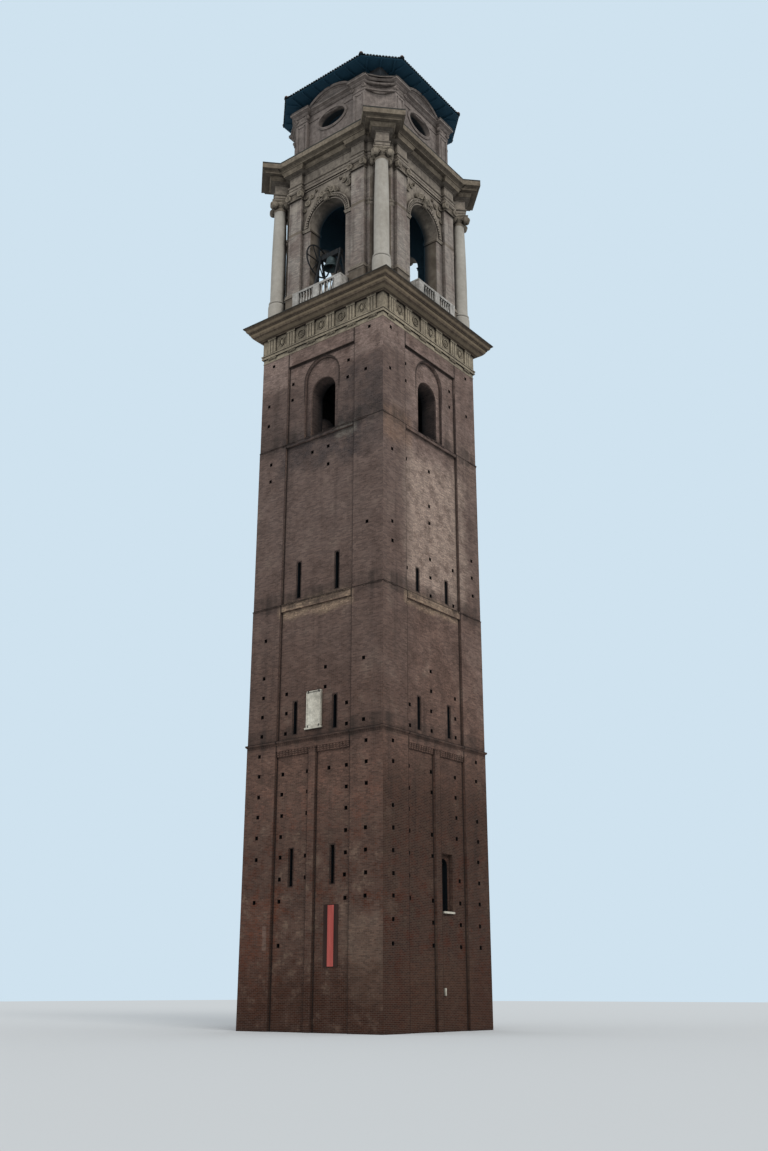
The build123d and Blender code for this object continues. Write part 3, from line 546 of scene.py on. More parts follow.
# Near-black painted shade for the faces inside the putlog holes.
HOLE_SHADE = woodwork("hole_painted_shade", linear(20, 19, 20), linear(12, 12, 13))
BELFRY_BRICK = masonry("belfry_masonry")
STUCCO = stonework("stucco", linear(142, 132, 120), linear(88, 80, 73))
FRIEZE = stonework("frieze_stucco", linear(160, 148, 128), linear(92, 84, 74), hollow=1.0)
ATTIC_STUCCO = stonework("attic_stucco", linear(132, 122, 116), linear(86, 78, 74), hollow=0.5, under=0.15)
CORNICE = stonework("cornice_stone", linear(128, 117, 102), linear(72, 63, 54))
# The set-back drum under the roof is painted dark grey: painted shade under the eaves.
UPPER_DRUM_SHADE = stonework("upper_drum_painted_shade", linear(62, 66, 70), linear(44, 46, 50))
# Bands on the main cornice: the dark ones painted shadow under its mouldings, the pale ones painted light on
# its fillets.
CORNICE_LIGHT_AND_SHADE = (
    (frieze_top + 0.03, frieze_top + 0.07, linear(132, 118, 98), 0.45),
    (frieze_top + 0.1, frieze_top + 0.125, linear(44, 36, 30), 0.7),
    (frieze_top + 0.18, frieze_top + 0.226, linear(146, 130, 106), 0.5),
    (frieze_top + 0.24, frieze_top + 0.262, linear(52, 44, 36), 0.6),
    (frieze_top + 0.31, frieze_top + 0.35, linear(134, 120, 98), 0.4),
    (frieze_top + 0.375, frieze_top + 0.395, linear(52, 46, 38), 0.6),
)
MAIN_CORNICE = stonework("main_cornice_stone", linear(112, 98, 82), linear(62, 52, 44), bands=CORNICE_LIGHT_AND_SHADE)
COLUMN = stonework("column_stone", linear(170, 165, 156), linear(140, 133, 123), 0.75, 0.35, 0.3, 0.9, 0.08)
CAPITAL = stonework("capital_stone", linear(138, 128, 114), linear(84, 76, 68))
MARBLE = stonework("marble", linear(205, 200, 186), linear(150, 142, 128), 0.55, 0.35, 0.25, 0.5)
BALUSTER = stonework("baluster_stone", linear(182, 178, 172), linear(112, 108, 102), 0.75, 0.5, 0.45, 0.9)
PAVING = stonework("paving", linear(120, 112, 100), linear(80, 74, 66))
TILES = tilework("roof_tiles", linear(128, 86, 68), linear(104, 72, 58))
# Roof boards in the dark blue of the shade under the eaves: painted shade.
SHADED_SOFFIT = woodwork("soffit_boards_painted_shade", linear(34, 68, 86), linear(24, 52, 68))
OLD_WOOD = woodwork("old_wood", linear(44, 46, 48), linear(28, 30, 32))
BRONZE = metalwork("bell_bronze", linear(64, 78, 80), linear(44, 56, 58), 0.55, 0.4)
IRON = metalwork("iron", linear(34, 40, 44), linear(40, 36, 34), 0.6, 0.4)
BANNER_BOARD = clothwork("banner_cloth", linear(58, 44, 40), linear(48, 36, 34))

NODE_FINISHES = {
    "string_course": BRICK, "doric_frieze": FRIEZE, "main_cornice": MAIN_CORNICE,
    "belfry_piers": BELFRY_BRICK, "belfry_arches": STUCCO, "corner_columns": COLUMN, "balustrades": BALUSTER,
    "belfry_entablature": STUCCO, "belfry_cornice": CORNICE, "attic_piers": ATTIC_STUCCO,
    "attic_walls": ATTIC_STUCCO, "attic_cornice": ATTIC_STUCCO, "upper_attic": UPPER_DRUM_SHADE,
    "pediments": ATTIC_STUCCO, "roof": SHADED_SOFFIT, "window_sill": MARBLE, "marble_plaque": MARBLE,
    "banner": BANNER_BOARD, "bell": BRONZE, "bell_clapper": IRON, "bell_headstock": OLD_WOOD,
    "bell_wheel": IRON, "bell_frame": IRON,
}
for name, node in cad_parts.items():
    finish = NODE_FINISHES.get(name, BRICK if "_wall_" in name else PAVING)
    node.data.materials.clear()
    node.data.materials.append(finish)


# Geometry helpers
def spot(turn, along, out, height):
    """Point on one side of the tower: along the wall, out from the axis, and up."""
    angle = math.radians(turn)
    c, s = math.cos(angle), math.sin(angle)
    return Vector((c * along + s * out, s * along - c * out, height))


def four_sides(points):
    """Closed plan from the points of one side, each along the wall and out from the axis."""
    return [spot(turn, along, out, 0).xy for turn in TURNS.values() for along, out in points]


def rectangle(turn, along, out):
    """Closed plan of a rectangle on one side."""
    corners = ((along[0], out[1]), (along[1], out[1]), (along[1], out[0]), (along[0], out[0]))
    return [spot(turn, a, o, 0).xy for a, o in corners]


def mitres(path):
    """Outward mitre of each corner of a closed plan that runs anticlockwise."""
    result = []
    for index, point in enumerate(path):
        before = (point - path[index - 1]).normalized()
        after = (path[(index + 1) % len(path)] - point).normalized()
        first = Vector((before.y, -before.x))
        second = Vector((after.y, -after.x))
        result.append((first + second) / max(0.25, 1 + first.dot(second)))
    return result


# Edges sharper than these angles are bevelled, or shaded sharp, the last in the brick walls
BEVEL_FROM = 0.6
SHARP_FROM = math.radians(38)
WALL_SHARP_FROM = math.radians(25)
# Radii of a ring that grows from a single point
POINT = (0.001, 0.001)


def mirrored(side, near, far):
    """Range along the wall between two distances from its middle, to the left or right of it."""
    return tuple(sorted((side * near, side * far)))


def raised(profile, foot):
    """Profile of radius and height, lifted to its foot."""
    return [(radius, foot + rise) for radius, rise in profile]


def mend(mesh, merge=0.0, outward=True, bevel=0.0):
    """Merges points of a mesh that lie close together, turns its faces outward and bevels sharp edges."""
    work = bmesh.new()
    work.from_mesh(mesh)
    if merge:
        bmesh.ops.remove_doubles(work, verts=work.verts, dist=merge)
    if outward:
        bmesh.ops.recalc_face_normals(work, faces=work.faces)
    if bevel:
        sharp = [e for e in work.edges if e.is_manifold and e.calc_face_angle() > BEVEL_FROM]
        bmesh.ops.bevel(work, geom=sharp, offset=bevel, segments=1, affect="EDGES", clamp_overlap=True)
    work.to_mesh(mesh)
    work.free()


class Shape:
    """Faces of one piece, gathered in the row frame."""

    def __init__(self):
        self.points = []
        self.faces = []
        self.smooth = []

    def add(self, points, faces, smooth=False):
        first = len(self.points)
        self.points += [tuple(point) for point in points]
        self.faces += [[first + index for index in face] for face in faces]
        self.smooth += [smooth] * len(faces)

    def skin(self, rows, ring=True, loop=False, caps=False, smooth=False):
        """Faces between neighbouring rows of points.

        ring closes each row, loop joins the last row to the first, and caps closes both ends.
        """
        count = len(rows[0])
        faces = []
        for row in range(len(rows) if loop else len(rows) - 1):
            first = row * count
            second = (row + 1) % len(rows) * count
            for column in range(count if ring else count - 1):
                beside = (column + 1) % count
                faces.append((first + column, first + beside, second + beside, second + column))
        self.add([point for row in rows for point in row], faces, smooth)
        if caps:
            self.add(rows[0], [range(count)])
            self.add(rows[-1], [range(count)])

    def block(self, turn, along, out, height):
        """Box on one side: ranges along the wall, out from the axis and up."""
        plan = ((along[0], out[0]), (along[1], out[0]), (along[1], out[1]), (along[0], out[1]))
        self.skin([[spot(turn, a, o, h) for a, o in plan] for h in height], caps=True)

    def sweep(self, path, profile, smooth=False):
        """Closed profile of offset and height, carried round a closed plan."""
        rows = [
            [(point.x + mitre.x * offset, point.y + mitre.y * offset, height) for offset, height in profile]
            for point, mitre in zip(path, mitres(path))
        ]
        self.skin(rows, loop=True, smooth=smooth)

    def lathe(self, x, y, profile, steps=32, smooth=True):
        """Turned piece: profile of radius and height from the foot up, closed at both ends."""
        rows = []
        for radius, height in profile:
            angles = [2 * math.pi * step / steps for step in range(steps)]
            rows.append([(x + radius * math.cos(a), y + radius * math.sin(a), height) for a in angles])
        self.skin(rows, caps=True, smooth=smooth)

    def arch(self, turn, centre, radii, profile, start=0.0, end=math.pi, steps=32, loop=False):
        """Closed profile of radial offset and reach, carried along an arc or ellipse in a wall."""
        rows = []
        for step in range(steps if loop else steps + 1):
            angle = start + (end - start) * step / steps
            rows.append([
                spot(
                    turn,
                    centre[0] + (radii[0] + offset) * math.cos(angle),
                    reach,
                    centre[1] + (radii[1] + offset) * math.sin(angle),
                )
                for offset, reach in profile
            ])
        self.skin(rows, loop=loop, caps=not loop)

    def ring(self, turn, centre, profile, steps, radii=POINT):
        """Closed profile of radial offset and reach, carried right round a circle or an oval in a wall."""
        self.arch(turn, centre, radii, profile, 0.0, 2 * math.pi, steps, loop=True)

    def piece(self, name, material, body="tower", slot="stucco", bevel=0.0, merge=False):
        mesh = bpy.data.meshes.new(name)
        mesh.from_pydata(self.points, [], self.faces)
        mesh.polygons.foreach_set("use_smooth", self.smooth)
        mesh.materials.append(material)
        mend(mesh, 0.0002 if merge or bevel else 0.0, bevel=bevel)
        mesh.set_sharp_from_angle(angle=SHARP_FROM)
        item = add_object(name, mesh)
        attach(item, body)
        return item


# Putlog holes in the brick shaft: columns along the wall, levels up the wall
HOLE = 0.05
HOLE_DEPTH = 0.16
HOLE_FIRST = 2.03
HOLE_PITCH = 0.5453
FRONT_HOLES = (
    (-1.87, (2, 4, 5, 6, 7, 8, 9)), (-1.07, (0, 2, 3, 4, 5, 6, 7, 8, 9)), (-0.19, (3, 4, 6, 7, 8, 9)),
    (0.53, (8, 9)), (1.11, (2, 3, 4, 5, 6, 7, 8, 9)), (1.82, (2, 3, 4, 5, 7, 8, 9)),
    (-1.82, (10, 11, 12, 13, 15)), (-1.02, (10, 11, 12)), (0.36, (12, 13)), (1.1, (10, 11)),
    (1.72, (10, 13)), (-0.31, (25,)), (0.3, (24, 25)), (-1.85, (24, 25)), (1.79, (20,)),
    (-1.15, (28.6, 29.6)), (1.0, (28.7, 29.7)), (1.72, (28.7,)), (1.82, (31.15,)), (-1.9, (31.15,)),
    (-2.03, (28.65, 27.45)), (-0.3, (31.15,)),
)
RIGHT_HOLES = (
    (-1.95, (0, 1, 2, 3, 4, 5, 6, 8, 9)), (-1.2, (2, 3, 4, 5, 6, 7, 8, 9)), (-0.2, (0, 1, 2, 4, 5, 7, 8, 9)),
    (1.04, (0, 1, 2, 3)), (0.93, (5, 6, 7, 8, 9)), (1.86, (0, 1, 2, 3, 4, 5, 6, 8, 9)), (-1.12, (10, 11)),
    (-0.14, (10, 11, 12, 13)), (1.01, (10, 11, 12)), (-0.09, (17, 18, 19, 21, 22, 24)),
    (-1.93, (19, 20, 24)), (-1.2, (18, 24)), (1.04, (17, 19)), (1.95, (18, 19, 20)), (-2.0, (28.6,)),
    (-1.17, (28.6, 29.6, 30.7)), (-1.95, (31.1,)), (1.07, (28.7, 29.7)), (1.88, (28.7, 31.15)),
)
HOLES = {"front": FRONT_HOLES, "right": RIGHT_HOLES, "back": FRONT_HOLES, "left": RIGHT_HOLES}


def wall_face(stage, along):
    """Distance of the wall's face from the axis, on a lesene or in the sunk panel."""
    return wall_half[stage] - (PANEL_DEPTH if abs(along) < PANEL_HALF else 0.0)


def hole_spots(side, stage):
    """Places of the holes that one stage has on one side, a little off their lines as on old brickwork."""
    chance = random.Random(f"{side}{stage}")
    places = []
    for column, levels in HOLES[side]:
        for level in levels:
            along = column + chance.uniform(-0.015, 0.015)
            height = HOLE_FIRST + HOLE_PITCH * level + chance.uniform(-0.012, 0.012)
            if wall_foot[stage] + 0.1 < height < wall_top[stage] - 0.1:
                places.append((along, height))
    return places


def lies_in_hole(point, side, stage, spots):
    """True for the faces inside a putlog hole of one side."""
    turn = math.radians(TURNS[side])
    along = point.x * math.cos(turn) + point.y * math.sin(turn)
    out = point.x * math.sin(turn) - point.y * math.cos(turn)
    face = wall_face(stage, along)
    if not face - HOLE_DEPTH - 0.01 < out < face - 0.002:
        return False
    limit = HOLE + 0.001
    return any(abs(along - a) < limit and abs(point.z - h) < limit for a, h in spots)


def pierced_wall(side, stage):
    """Copy of a wall with its putlog holes cut in."""
    name = f"{side}_wall_{stage + 1}"
    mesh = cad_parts[name].data.copy()
    mend(mesh, 0.0001, outward=False)
    if "custom_normal" in mesh.attributes:
        mesh.attributes.remove(mesh.attributes["custom_normal"])
    wall = add_object(f"{side}_brickwork_{stage + 1}", mesh)
    holes = Shape()
    spots = {each: hole_spots(each, stage) for each in TURNS}
    for each, turn in TURNS.items():
        for along, height in spots[each]:
            face = wall_face(stage, along)
            width = (along - HOLE, along + HOLE)
            holes.block(turn, width, (face - HOLE_DEPTH, face + 0.02), (height - HOLE, height + HOLE))
    cutter_mesh = bpy.data.meshes.new("holes")
    cutter_mesh.from_pydata(holes.points, [], holes.faces)
    mend(cutter_mesh, 0.0001)
    cutter = add_object("holes", cutter_mesh)
    cut = wall.modifiers.new("holes", "BOOLEAN")
    cut.operation = "DIFFERENCE"
    cut.solver = "EXACT"
    cut.object = cutter
    bpy.context.view_layer.update()
    result = bpy.data.meshes.new_from_object(wall.evaluated_get(bpy.context.evaluated_depsgraph_get()))
    wall.modifiers.clear()
    wall.data = result
    bpy.data.objects.remove(cutter)
    result.polygons.foreach_set("use_smooth", [True] * len(result.polygons))
    result.set_sharp_from_angle(angle=WALL_SHARP_FROM)
    result.materials.clear()
    result.materials.append(BRICK)
    result.materials.append(HOLE_SHADE)
    # Faces inside the putlog holes take the painted shade.
    for polygon in result.polygons:
        inside = any(lies_in_hole(polygon.center, each, stage, spots[each]) for each in TURNS)
        polygon.material_index = int(inside)
    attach(wall, "tower")
    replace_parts(wall, name)


for side_name in TURNS:
    for stage_index in range(4):
        pierced_wall(side_name, stage_index)


# Ledges of the shaft: a row of bricks set on edge under the string course, broken courses higher up
SAWTOOTH_PITCH = 0.07
BRICK_RUN = (0.09, 0.14)
CHANGE_SHARE = 0.16
CORBEL_PITCH = 0.11
CORBEL_HALF = 0.032
# Drop under the panel's head and reach of each corbel row
CORBEL_ROWS = ((0.0, 0.062), (0.05, 0.052), (0.1, 0.044))


def sawtooth_course():
    """Bricks set cornerwise in a row, like the teeth of a saw."""
    row = Shape()
    count = int(2 * wall_half[0] / SAWTOOTH_PITCH)
    face = wall_half[0]
    heights = (wall_top[0] - 0.045, wall_top[0] - 0.003)
    for turn in TURNS.values():
        for index in range(count):
            along = (index - (count - 1) / 2) * SAWTOOTH_PITCH
            plan = ((along - 0.03, face - 0.01), (along, face + 0.026), (along + 0.03, face - 0.01))
            row.skin([[spot(turn, a, o, h) for a, o in plan] for h in heights], caps=True)
    row.piece("sawtooth_course", BRICK, slot="brick_lower", merge=True)


def broken_ledge(name, height, half, share, reach, chance_seed):
    """Remains of a projecting course: single bricks and short runs, with gaps."""
    ledge = Shape()
    chance = random.Random(chance_seed)
    for turn in TURNS.values():
        along = -half
        present = True
        while along < half - 0.05:
            run = chance.uniform(*BRICK_RUN)
            if chance.random() < CHANGE_SHARE:
                present = chance.random() < share
            end = min(half, along + run - 0.006)
            if present:
                out = half + reach * chance.uniform(0.35, 1.0)
                top = height + chance.uniform(-0.006, 0.004)
                foot = top - chance.uniform(0.03, 0.04)
                ledge.block(turn, (along, end), (half - 0.02, out), (foot, top))
            along += run
    ledge.piece(name, BRICK, slot="brick_upper", bevel=0.004)


def corbel_rows():
    """Rows of small brick corbels under the heads of the lowest panels, each row further out."""
    rows = Shape()
    panel_face = wall_half[0] - PANEL_DEPTH
    count = int(2 * PANEL_HALF / CORBEL_PITCH)
    for turn in TURNS.values():
        for drop, out in CORBEL_ROWS:
            top = panel_tops[0] - drop
            rows.block(
                turn, (-PANEL_HALF, PANEL_HALF), (panel_face - 0.01, panel_face + out - 0.014),
                (top - 0.05, top),
            )
            for index in range(count):
                along = (index + 0.5 - count / 2) * CORBEL_PITCH
                front = wall_half[0] - 0.04 if abs(along) < CENTRE_LESENE + 0.04 else panel_face
                width = (along - CORBEL_HALF, along + CORBEL_HALF)
                rows.block(turn, width, (front, front + out), (top - 0.042, top - 0.006))
    rows.piece("corbel_rows", BRICK, slot="brick_lower")


sawtooth_course()
corbel_rows()
broken_ledge("ledge_2", wall_foot[2] + 0.01, wall_half[1], 0.86, 0.03, 4)
broken_ledge("ledge_3", wall_foot[3] + 0.01, wall_half[2], 0.55, 0.035, 9)

# Doric frieze: grooved triglyphs with their guttae, and round reliefs in the fields between them
FRIEZE_FACE = 2.35
TRIGLYPHS = 6
TRIGLYPH_HALF = 0.166
triglyph_pitch = 2 * FRIEZE_FACE / TRIGLYPHS
frieze_foot = frieze_top - 0.505
taenia_foot = frieze_foot - 0.135
SHANKS = (-0.105, 0.0, 0.105)


def triglyph(shape, turn, centre):
    """Grooved block of the frieze, with its head, its foot and the drops under it."""
    plan = [(-0.157, -0.012), (-0.157, 0.02)]
    for shank in SHANKS:
        plan += [(shank - 0.036, 0.048), (shank + 0.036, 0.048)]
        if shank < 0.1:
            plan.append((shank + 0.0525, 0.018))
    plan += [(0.157, 0.02), (0.157, -0.012)]
    rows = [
        [spot(turn, centre + along, FRIEZE_FACE + out, height) for along, out in plan]
        for height in (frieze_foot, frieze_top - 0.06)
    ]
    shape.skin(rows, caps=True)
    along = (centre - TRIGLYPH_HALF, centre + TRIGLYPH_HALF)
    shape.block(turn, along, (FRIEZE_FACE, FRIEZE_FACE + 0.06), (frieze_top - 0.06, frieze_top - 0.004))
    face = wall_half[3]
    shape.block(turn, along, (face, face + 0.026), (taenia_foot - 0.03, taenia_foot + 0.002))
    for drop in range(6):
        middle = centre + (drop - 2.5) * 0.056
        place = spot(turn, middle, face + 0.012, 0)
        shape.lathe(place.x, place.y, [(0.018, taenia_foot - 0.07), (0.012, taenia_foot - 0.03)], steps=8)


def round_relief(shape, turn, centre, petals):
    """Dish with a raised rim and a boss, with petals or a plain hollow."""
    middle = (centre, (frieze_foot + frieze_top) / 2)
    face = FRIEZE_FACE
    rim = [(0.0, face - 0.005), (0.008, face + 0.028), (0.026, face + 0.03), (0.034, face - 0.005)]
    shape.ring(turn, middle, rim, 28, (0.115, 0.115))
    boss = [
        (0.0, face - 0.005), (0.0, face + 0.036), (0.018, face + 0.03), (0.034, face + 0.01),
        (0.036, face - 0.005),
    ]
    shape.ring(turn, middle, boss, 16)
    for petal in range(petals):
        angle = 2 * math.pi * petal / petals
        place = (middle[0] + 0.074 * math.cos(angle), middle[1] + 0.074 * math.sin(angle))
        leaf = [(0.0, face + 0.022), (0.012, face + 0.016), (0.024, face - 0.004)]
        shape.ring(turn, place, leaf, 10)


def shield_relief(shape, turn, centre):
    """Upright oval with a rim and two hanging ribbons."""
    middle = (centre, (frieze_foot + frieze_top) / 2 + 0.01)
    face = FRIEZE_FACE
    rim = [(0.0, face - 0.005), (0.006, face + 0.026), (0.02, face + 0.026), (0.026, face - 0.005)]
    shape.ring(turn, middle, rim, 28, (0.075, 0.12))
    body = [(0.0, face + 0.034), (0.03, face + 0.028), (0.05, face + 0.01), (0.056, face - 0.005)]
    shape.ring(turn, middle, body, 20, (0.001, 0.04))
    for side in (-1, 1):
        for fold in range(4):
            place = (middle[0] + side * (0.125 + 0.012 * (fold % 2)), middle[1] + 0.1 - 0.06 * fold)
            ribbon = [(0.0, face + 0.022), (0.014, face + 0.014), (0.022, face - 0.004)]
            shape.ring(turn, place, ribbon, 10, (0.001, 0.016))


triglyphs = Shape()
reliefs = Shape()
for turn in TURNS.values():
    for index in range(TRIGLYPHS):
        triglyph(triglyphs, turn, (index - (TRIGLYPHS - 1) / 2) * triglyph_pitch)
    for index in range(TRIGLYPHS - 1):
        field = (index - (TRIGLYPHS - 2) / 2) * triglyph_pitch
        if index % 2:
            round_relief(reliefs, turn, field, 8)
        else:
            shield_relief(reliefs, turn, field)
triglyphs.piece("triglyphs", FRIEZE)
reliefs.piece("metope_reliefs", FRIEZE)

# Thin mouldings round the frieze and under the cornice
MOULDING_BACK = -0.03


def square_plan(half):
    """Closed plan of a square round the tower."""
    return four_sides([(-half, half)])


def moulding(shape, path, foot, steps):
    """Closed moulding on a plan: steps of offset and rise above its foot, backed into the wall."""
    profile = [(MOULDING_BACK, 0.0)] + steps + [(MOULDING_BACK, steps[-1][1])]
    shape.sweep(path, [(offset, foot + rise) for offset, rise in profile])


bands = Shape()
taenia_plan = square_plan(wall_half[3] + 0.041)
moulding(bands, taenia_plan, taenia_foot, [(0.0, 0.0), (0.012, 0.03), (0.012, 0.05), (0.0, 0.06)])
moulding(bands, taenia_plan, frieze_foot, [(0.0, -0.05), (0.02, -0.04), (0.024, -0.01), (0.01, 0.0)])
moulding(bands, square_plan(wall_half[3]), wall_top[3], [(0.0, -0.03), (0.012, -0.022), (0.012, 0.0)])
bands.piece("frieze_bands", FRIEZE)
bed = Shape()
moulding(
    bed, square_plan(FRIEZE_FACE + 0.02), frieze_top,
    [(0.05, 0.0), (0.062, 0.02), (0.075, 0.045), (0.05, 0.05)],
)
for half, foot in ((FRIEZE_FACE + 0.27, frieze_top + 0.21), (FRIEZE_FACE + 0.37, frieze_top + 0.336)):
    moulding(
        bed, square_plan(half), foot,
        [(0.0, 0.0), (0.03, 0.004), (0.034, 0.012), (0.03, 0.02), (0.0, 0.024)],
    )
bed.piece("cornice_bed", MAIN_CORNICE)

# Belfry piers: mouldings of the pilasters, imposts carried round every edge, scrolled capitals
PIER_BACK = 1.95
CORNER_BACK = 2.4
BASE_STEPS = [(0.04, 0.0), (0.04, 0.1), (0.03, 0.125), (0.012, 0.14), (0.0, 0.16)]
CAP_STEPS = [(0.0, 0.0), (0.012, 0.012), (0.03, 0.045), (0.04, 0.05), (0.04, 0.085), (0.0, 0.092)]
TORUS_STEPS = [
    (0.045, 0.0), (0.045, 0.04), (0.034, 0.052), (0.04, 0.07), (0.034, 0.09), (0.016, 0.098), (0.012, 0.12),
    (0.0, 0.13),
]
ASTRAGAL_STEPS = [(0.0, 0.0), (0.022, 0.008), (0.028, 0.022), (0.022, 0.036), (0.0, 0.044)]
ABACUS_STEPS = [(0.0, 0.0), (0.03, 0.02), (0.046, 0.05), (0.05, 0.055), (0.05, 0.1), (0.0, 0.102)]
IMPOST_STEPS = [
    (0.0, 0.0), (0.01, 0.0), (0.01, 0.03), (0.02, 0.05), (0.034, 0.07), (0.034, 0.098), (0.0, 0.1)
]
STRIP_STEPS = [(0.0, 0.0), (0.02, 0.03), (0.035, 0.06), (0.035, 0.1), (0.0, 0.104)]
# Feet of the bands that run round the piers: pedestal head, two at the imposts, capital
STRIP_FEET = (terrace + PEDESTAL_RISE - 0.09, springing - 0.17, springing - 0.05, belfry_top - 0.105)


def volute(shape, turn, along, height, radius, face, back=0.06):
    """Rolled end of a scroll, seen from the front: a disc with a raised coil and an eye."""
    coil = [
        (0.0, face + 0.022), (0.16 * radius, face + 0.02), (0.24 * radius, face + 0.004),
        (0.5 * radius, face + 0.002), (0.62 * radius, face + 0.02), (0.9 * radius, face + 0.02),
        (radius, face + 0.006), (radius, face - back), (0.0, face - back),
    ]
    shape.ring(turn, (along, height), coil, 18)


def row_of_eggs(shape, turn, span, height, size, face):
    """Row of upright ovals between two places along the wall."""
    count = int((span[1] - span[0]) / (2.4 * size))
    for index in range(count):
        along = span[0] + (index + 0.5) * (span[1] - span[0]) / count
        egg = [(0.0, face + 0.02), (0.5 * size, face + 0.014), (size, face - 0.01)]
        shape.ring(turn, (along, height), egg, 8, (0.001, 0.3 * size))


def sides_of(turn, reach):
    """The four faces of a piece that stands at a distance from the axis: turn, place along and out."""
    for quarter in range(4):
        angle = math.radians(90 * quarter)
        yield turn + 90 * quarter, -reach * math.sin(angle), reach * math.cos(angle)


pier_trim = Shape()
scrolls = Shape()
for turn in TURNS.values():
    for side in (-1, 1):
        span = mirrored(side, PILASTER[0], PILASTER[1])
        wide = (span[0] - 0.025, span[1] + 0.025)
        pedestal = rectangle(turn, wide, (PIER_BACK, PILASTER_FACE + 0.025))
        shaft = rectangle(turn, span, (PIER_BACK, PILASTER_FACE))
        head = rectangle(turn, span, (PIER_BACK, PILASTER_FACE + 0.05))
        moulding(pier_trim, pedestal, terrace, BASE_STEPS)
        moulding(pier_trim, pedestal, STRIP_FEET[0], CAP_STEPS)
        moulding(pier_trim, shaft, terrace + PEDESTAL_RISE, TORUS_STEPS)
        moulding(pier_trim, head, belfry_top - CAPITAL_RISE, ASTRAGAL_STEPS)
        moulding(pier_trim, head, STRIP_FEET[3], ABACUS_STEPS)
        face = PILASTER_FACE + 0.05
        row_of_eggs(scrolls, turn, (span[0] + 0.1, span[1] - 0.1), belfry_top - 0.15, 0.03, face)
        row_of_eggs(scrolls, turn, (span[0] + 0.02, span[1] - 0.02), belfry_top - 0.27, 0.04, face)
        for end in span:
            volute(scrolls, turn, end, belfry_top - 0.2, 0.11, face + 0.05, 0.09)
        strip = rectangle(turn, mirrored(side, ARCH_RADIUS, PILASTER[0]), (BELFRY_ROOM, BELFRY_HALF + 0.018))
        moulding(pier_trim, strip, springing - IMPOST_RISE, IMPOST_STEPS)
        flank = rectangle(turn, mirrored(side, PILASTER[1], CHAMFER_FROM), (PIER_BACK, BELFRY_HALF))
        for foot in STRIP_FEET:
            moulding(pier_trim, flank, foot, STRIP_STEPS)
    pier_trim.block(
        turn, (-PILASTER[0], PILASTER[0]), (BELFRY_HALF - 0.02, BELFRY_HALF + 0.03),
        (belfry_top - 0.085, belfry_top - 0.05),
    )
    corner_half = BELFRY_HALF * math.sqrt(2) - CORNER_REACH
    corner = rectangle(turn + 45, (-corner_half, corner_half), (CORNER_BACK, CORNER_REACH))
    respond = rectangle(turn + 45, (-RESPOND[0], RESPOND[0]), (CORNER_BACK, RESPOND[1]))
    for foot in STRIP_FEET:
        moulding(pier_trim, corner, foot, STRIP_STEPS)
    for foot in (*STRIP_FEET[1:3], belfry_top - 0.36):
        moulding(pier_trim, respond, foot, STRIP_STEPS)
pier_trim.piece("pier_mouldings", STUCCO)
scrolls.piece("pilaster_scrolls", CAPITAL)

# Archivolts with a row of dentils, keystones with their cartouches, and scrollwork in the spandrels
SPANDREL_SCROLLS = (
    (0.84, 0.98, 0.11), (0.95, 0.74, 0.055), (0.66, 1.17, 0.085), (0.92, 1.24, 0.075), (0.5, 1.32, 0.05)
)
CARTOUCHE_SCROLLS = ((0.2, 1.03, 0.115), (0.37, 0.93, 0.085), (0.14, 0.84, 0.07))
DENTILS = 30
DENTIL_HALF_ANGLE = 0.032
arch_trim = Shape()
dentils = Shape()
keystones = Shape()
centre = (0.0, springing)
crown = springing + ARCH_RADIUS
face = BELFRY_HALF
radii = (ARCH_RADIUS, ARCH_RADIUS)
tooth = [(0.07, face), (0.07, face + 0.075), (0.14, face + 0.075), (0.14, face)]
for turn in TURNS.values():
    inner = [
        (0.004, face), (0.004, face + 0.052), (0.022, face + 0.056), (0.04, face + 0.044), (0.048, face)
    ]
    outer = [
        (0.14, face), (0.146, face + 0.05), (0.158, face + 0.07), (0.185, face + 0.078), (0.2, face + 0.07),
        (0.204, face),
    ]
    arch_trim.arch(turn, centre, radii, inner, steps=40)
    arch_trim.arch(turn, centre, radii, outer, steps=40)
    for index in range(DENTILS):
        angle = math.pi * (index + 0.5) / DENTILS
        dentils.arch(turn, centre, radii, tooth, angle - DENTIL_HALF_ANGLE, angle + DENTIL_HALF_ANGLE, 1)
    outline = [
        (0.0, -0.03), (0.075, -0.03), (0.105, -0.005), (0.11, 0.025), (0.095, 0.05), (0.072, 0.065),
        (0.078, 0.11), (0.1, 0.145), (0.135, 0.165), (0.155, 0.19), (0.15, 0.22), (0.12, 0.24), (0.0, 0.24),
    ]
    for width, depth in ((0.1, 0.0), (0.06, 0.02)):
        rows = [
            [spot(turn, along, face + (out + depth if out else 0.0), crown + rise) for out, rise in outline]
            for along in (-width, width)
        ]
        keystones.skin(rows, caps=True)
    for side in (-1, 1):
        for along, rise, radius in CARTOUCHE_SCROLLS:
            volute(keystones, turn, side * along, springing + rise, radius, face + 0.075, 0.08)
        for along, rise, radius in SPANDREL_SCROLLS:
            volute(keystones, turn, side * along, springing + rise, radius, face + 0.03, 0.04)
    crest = [
        (0.0, face + 0.07), (0.03, face + 0.062), (0.05, face + 0.03), (0.07, face + 0.045),
        (0.085, face - 0.01),
    ]
    keystones.ring(turn, (0.0, springing + 1.13), crest, 20, (0.03, 0.03))
arch_trim.piece("archivolts", STUCCO)
dentils.piece("archivolt_dentils", STUCCO)
keystones.piece("keystone_scrolls", CAPITAL)

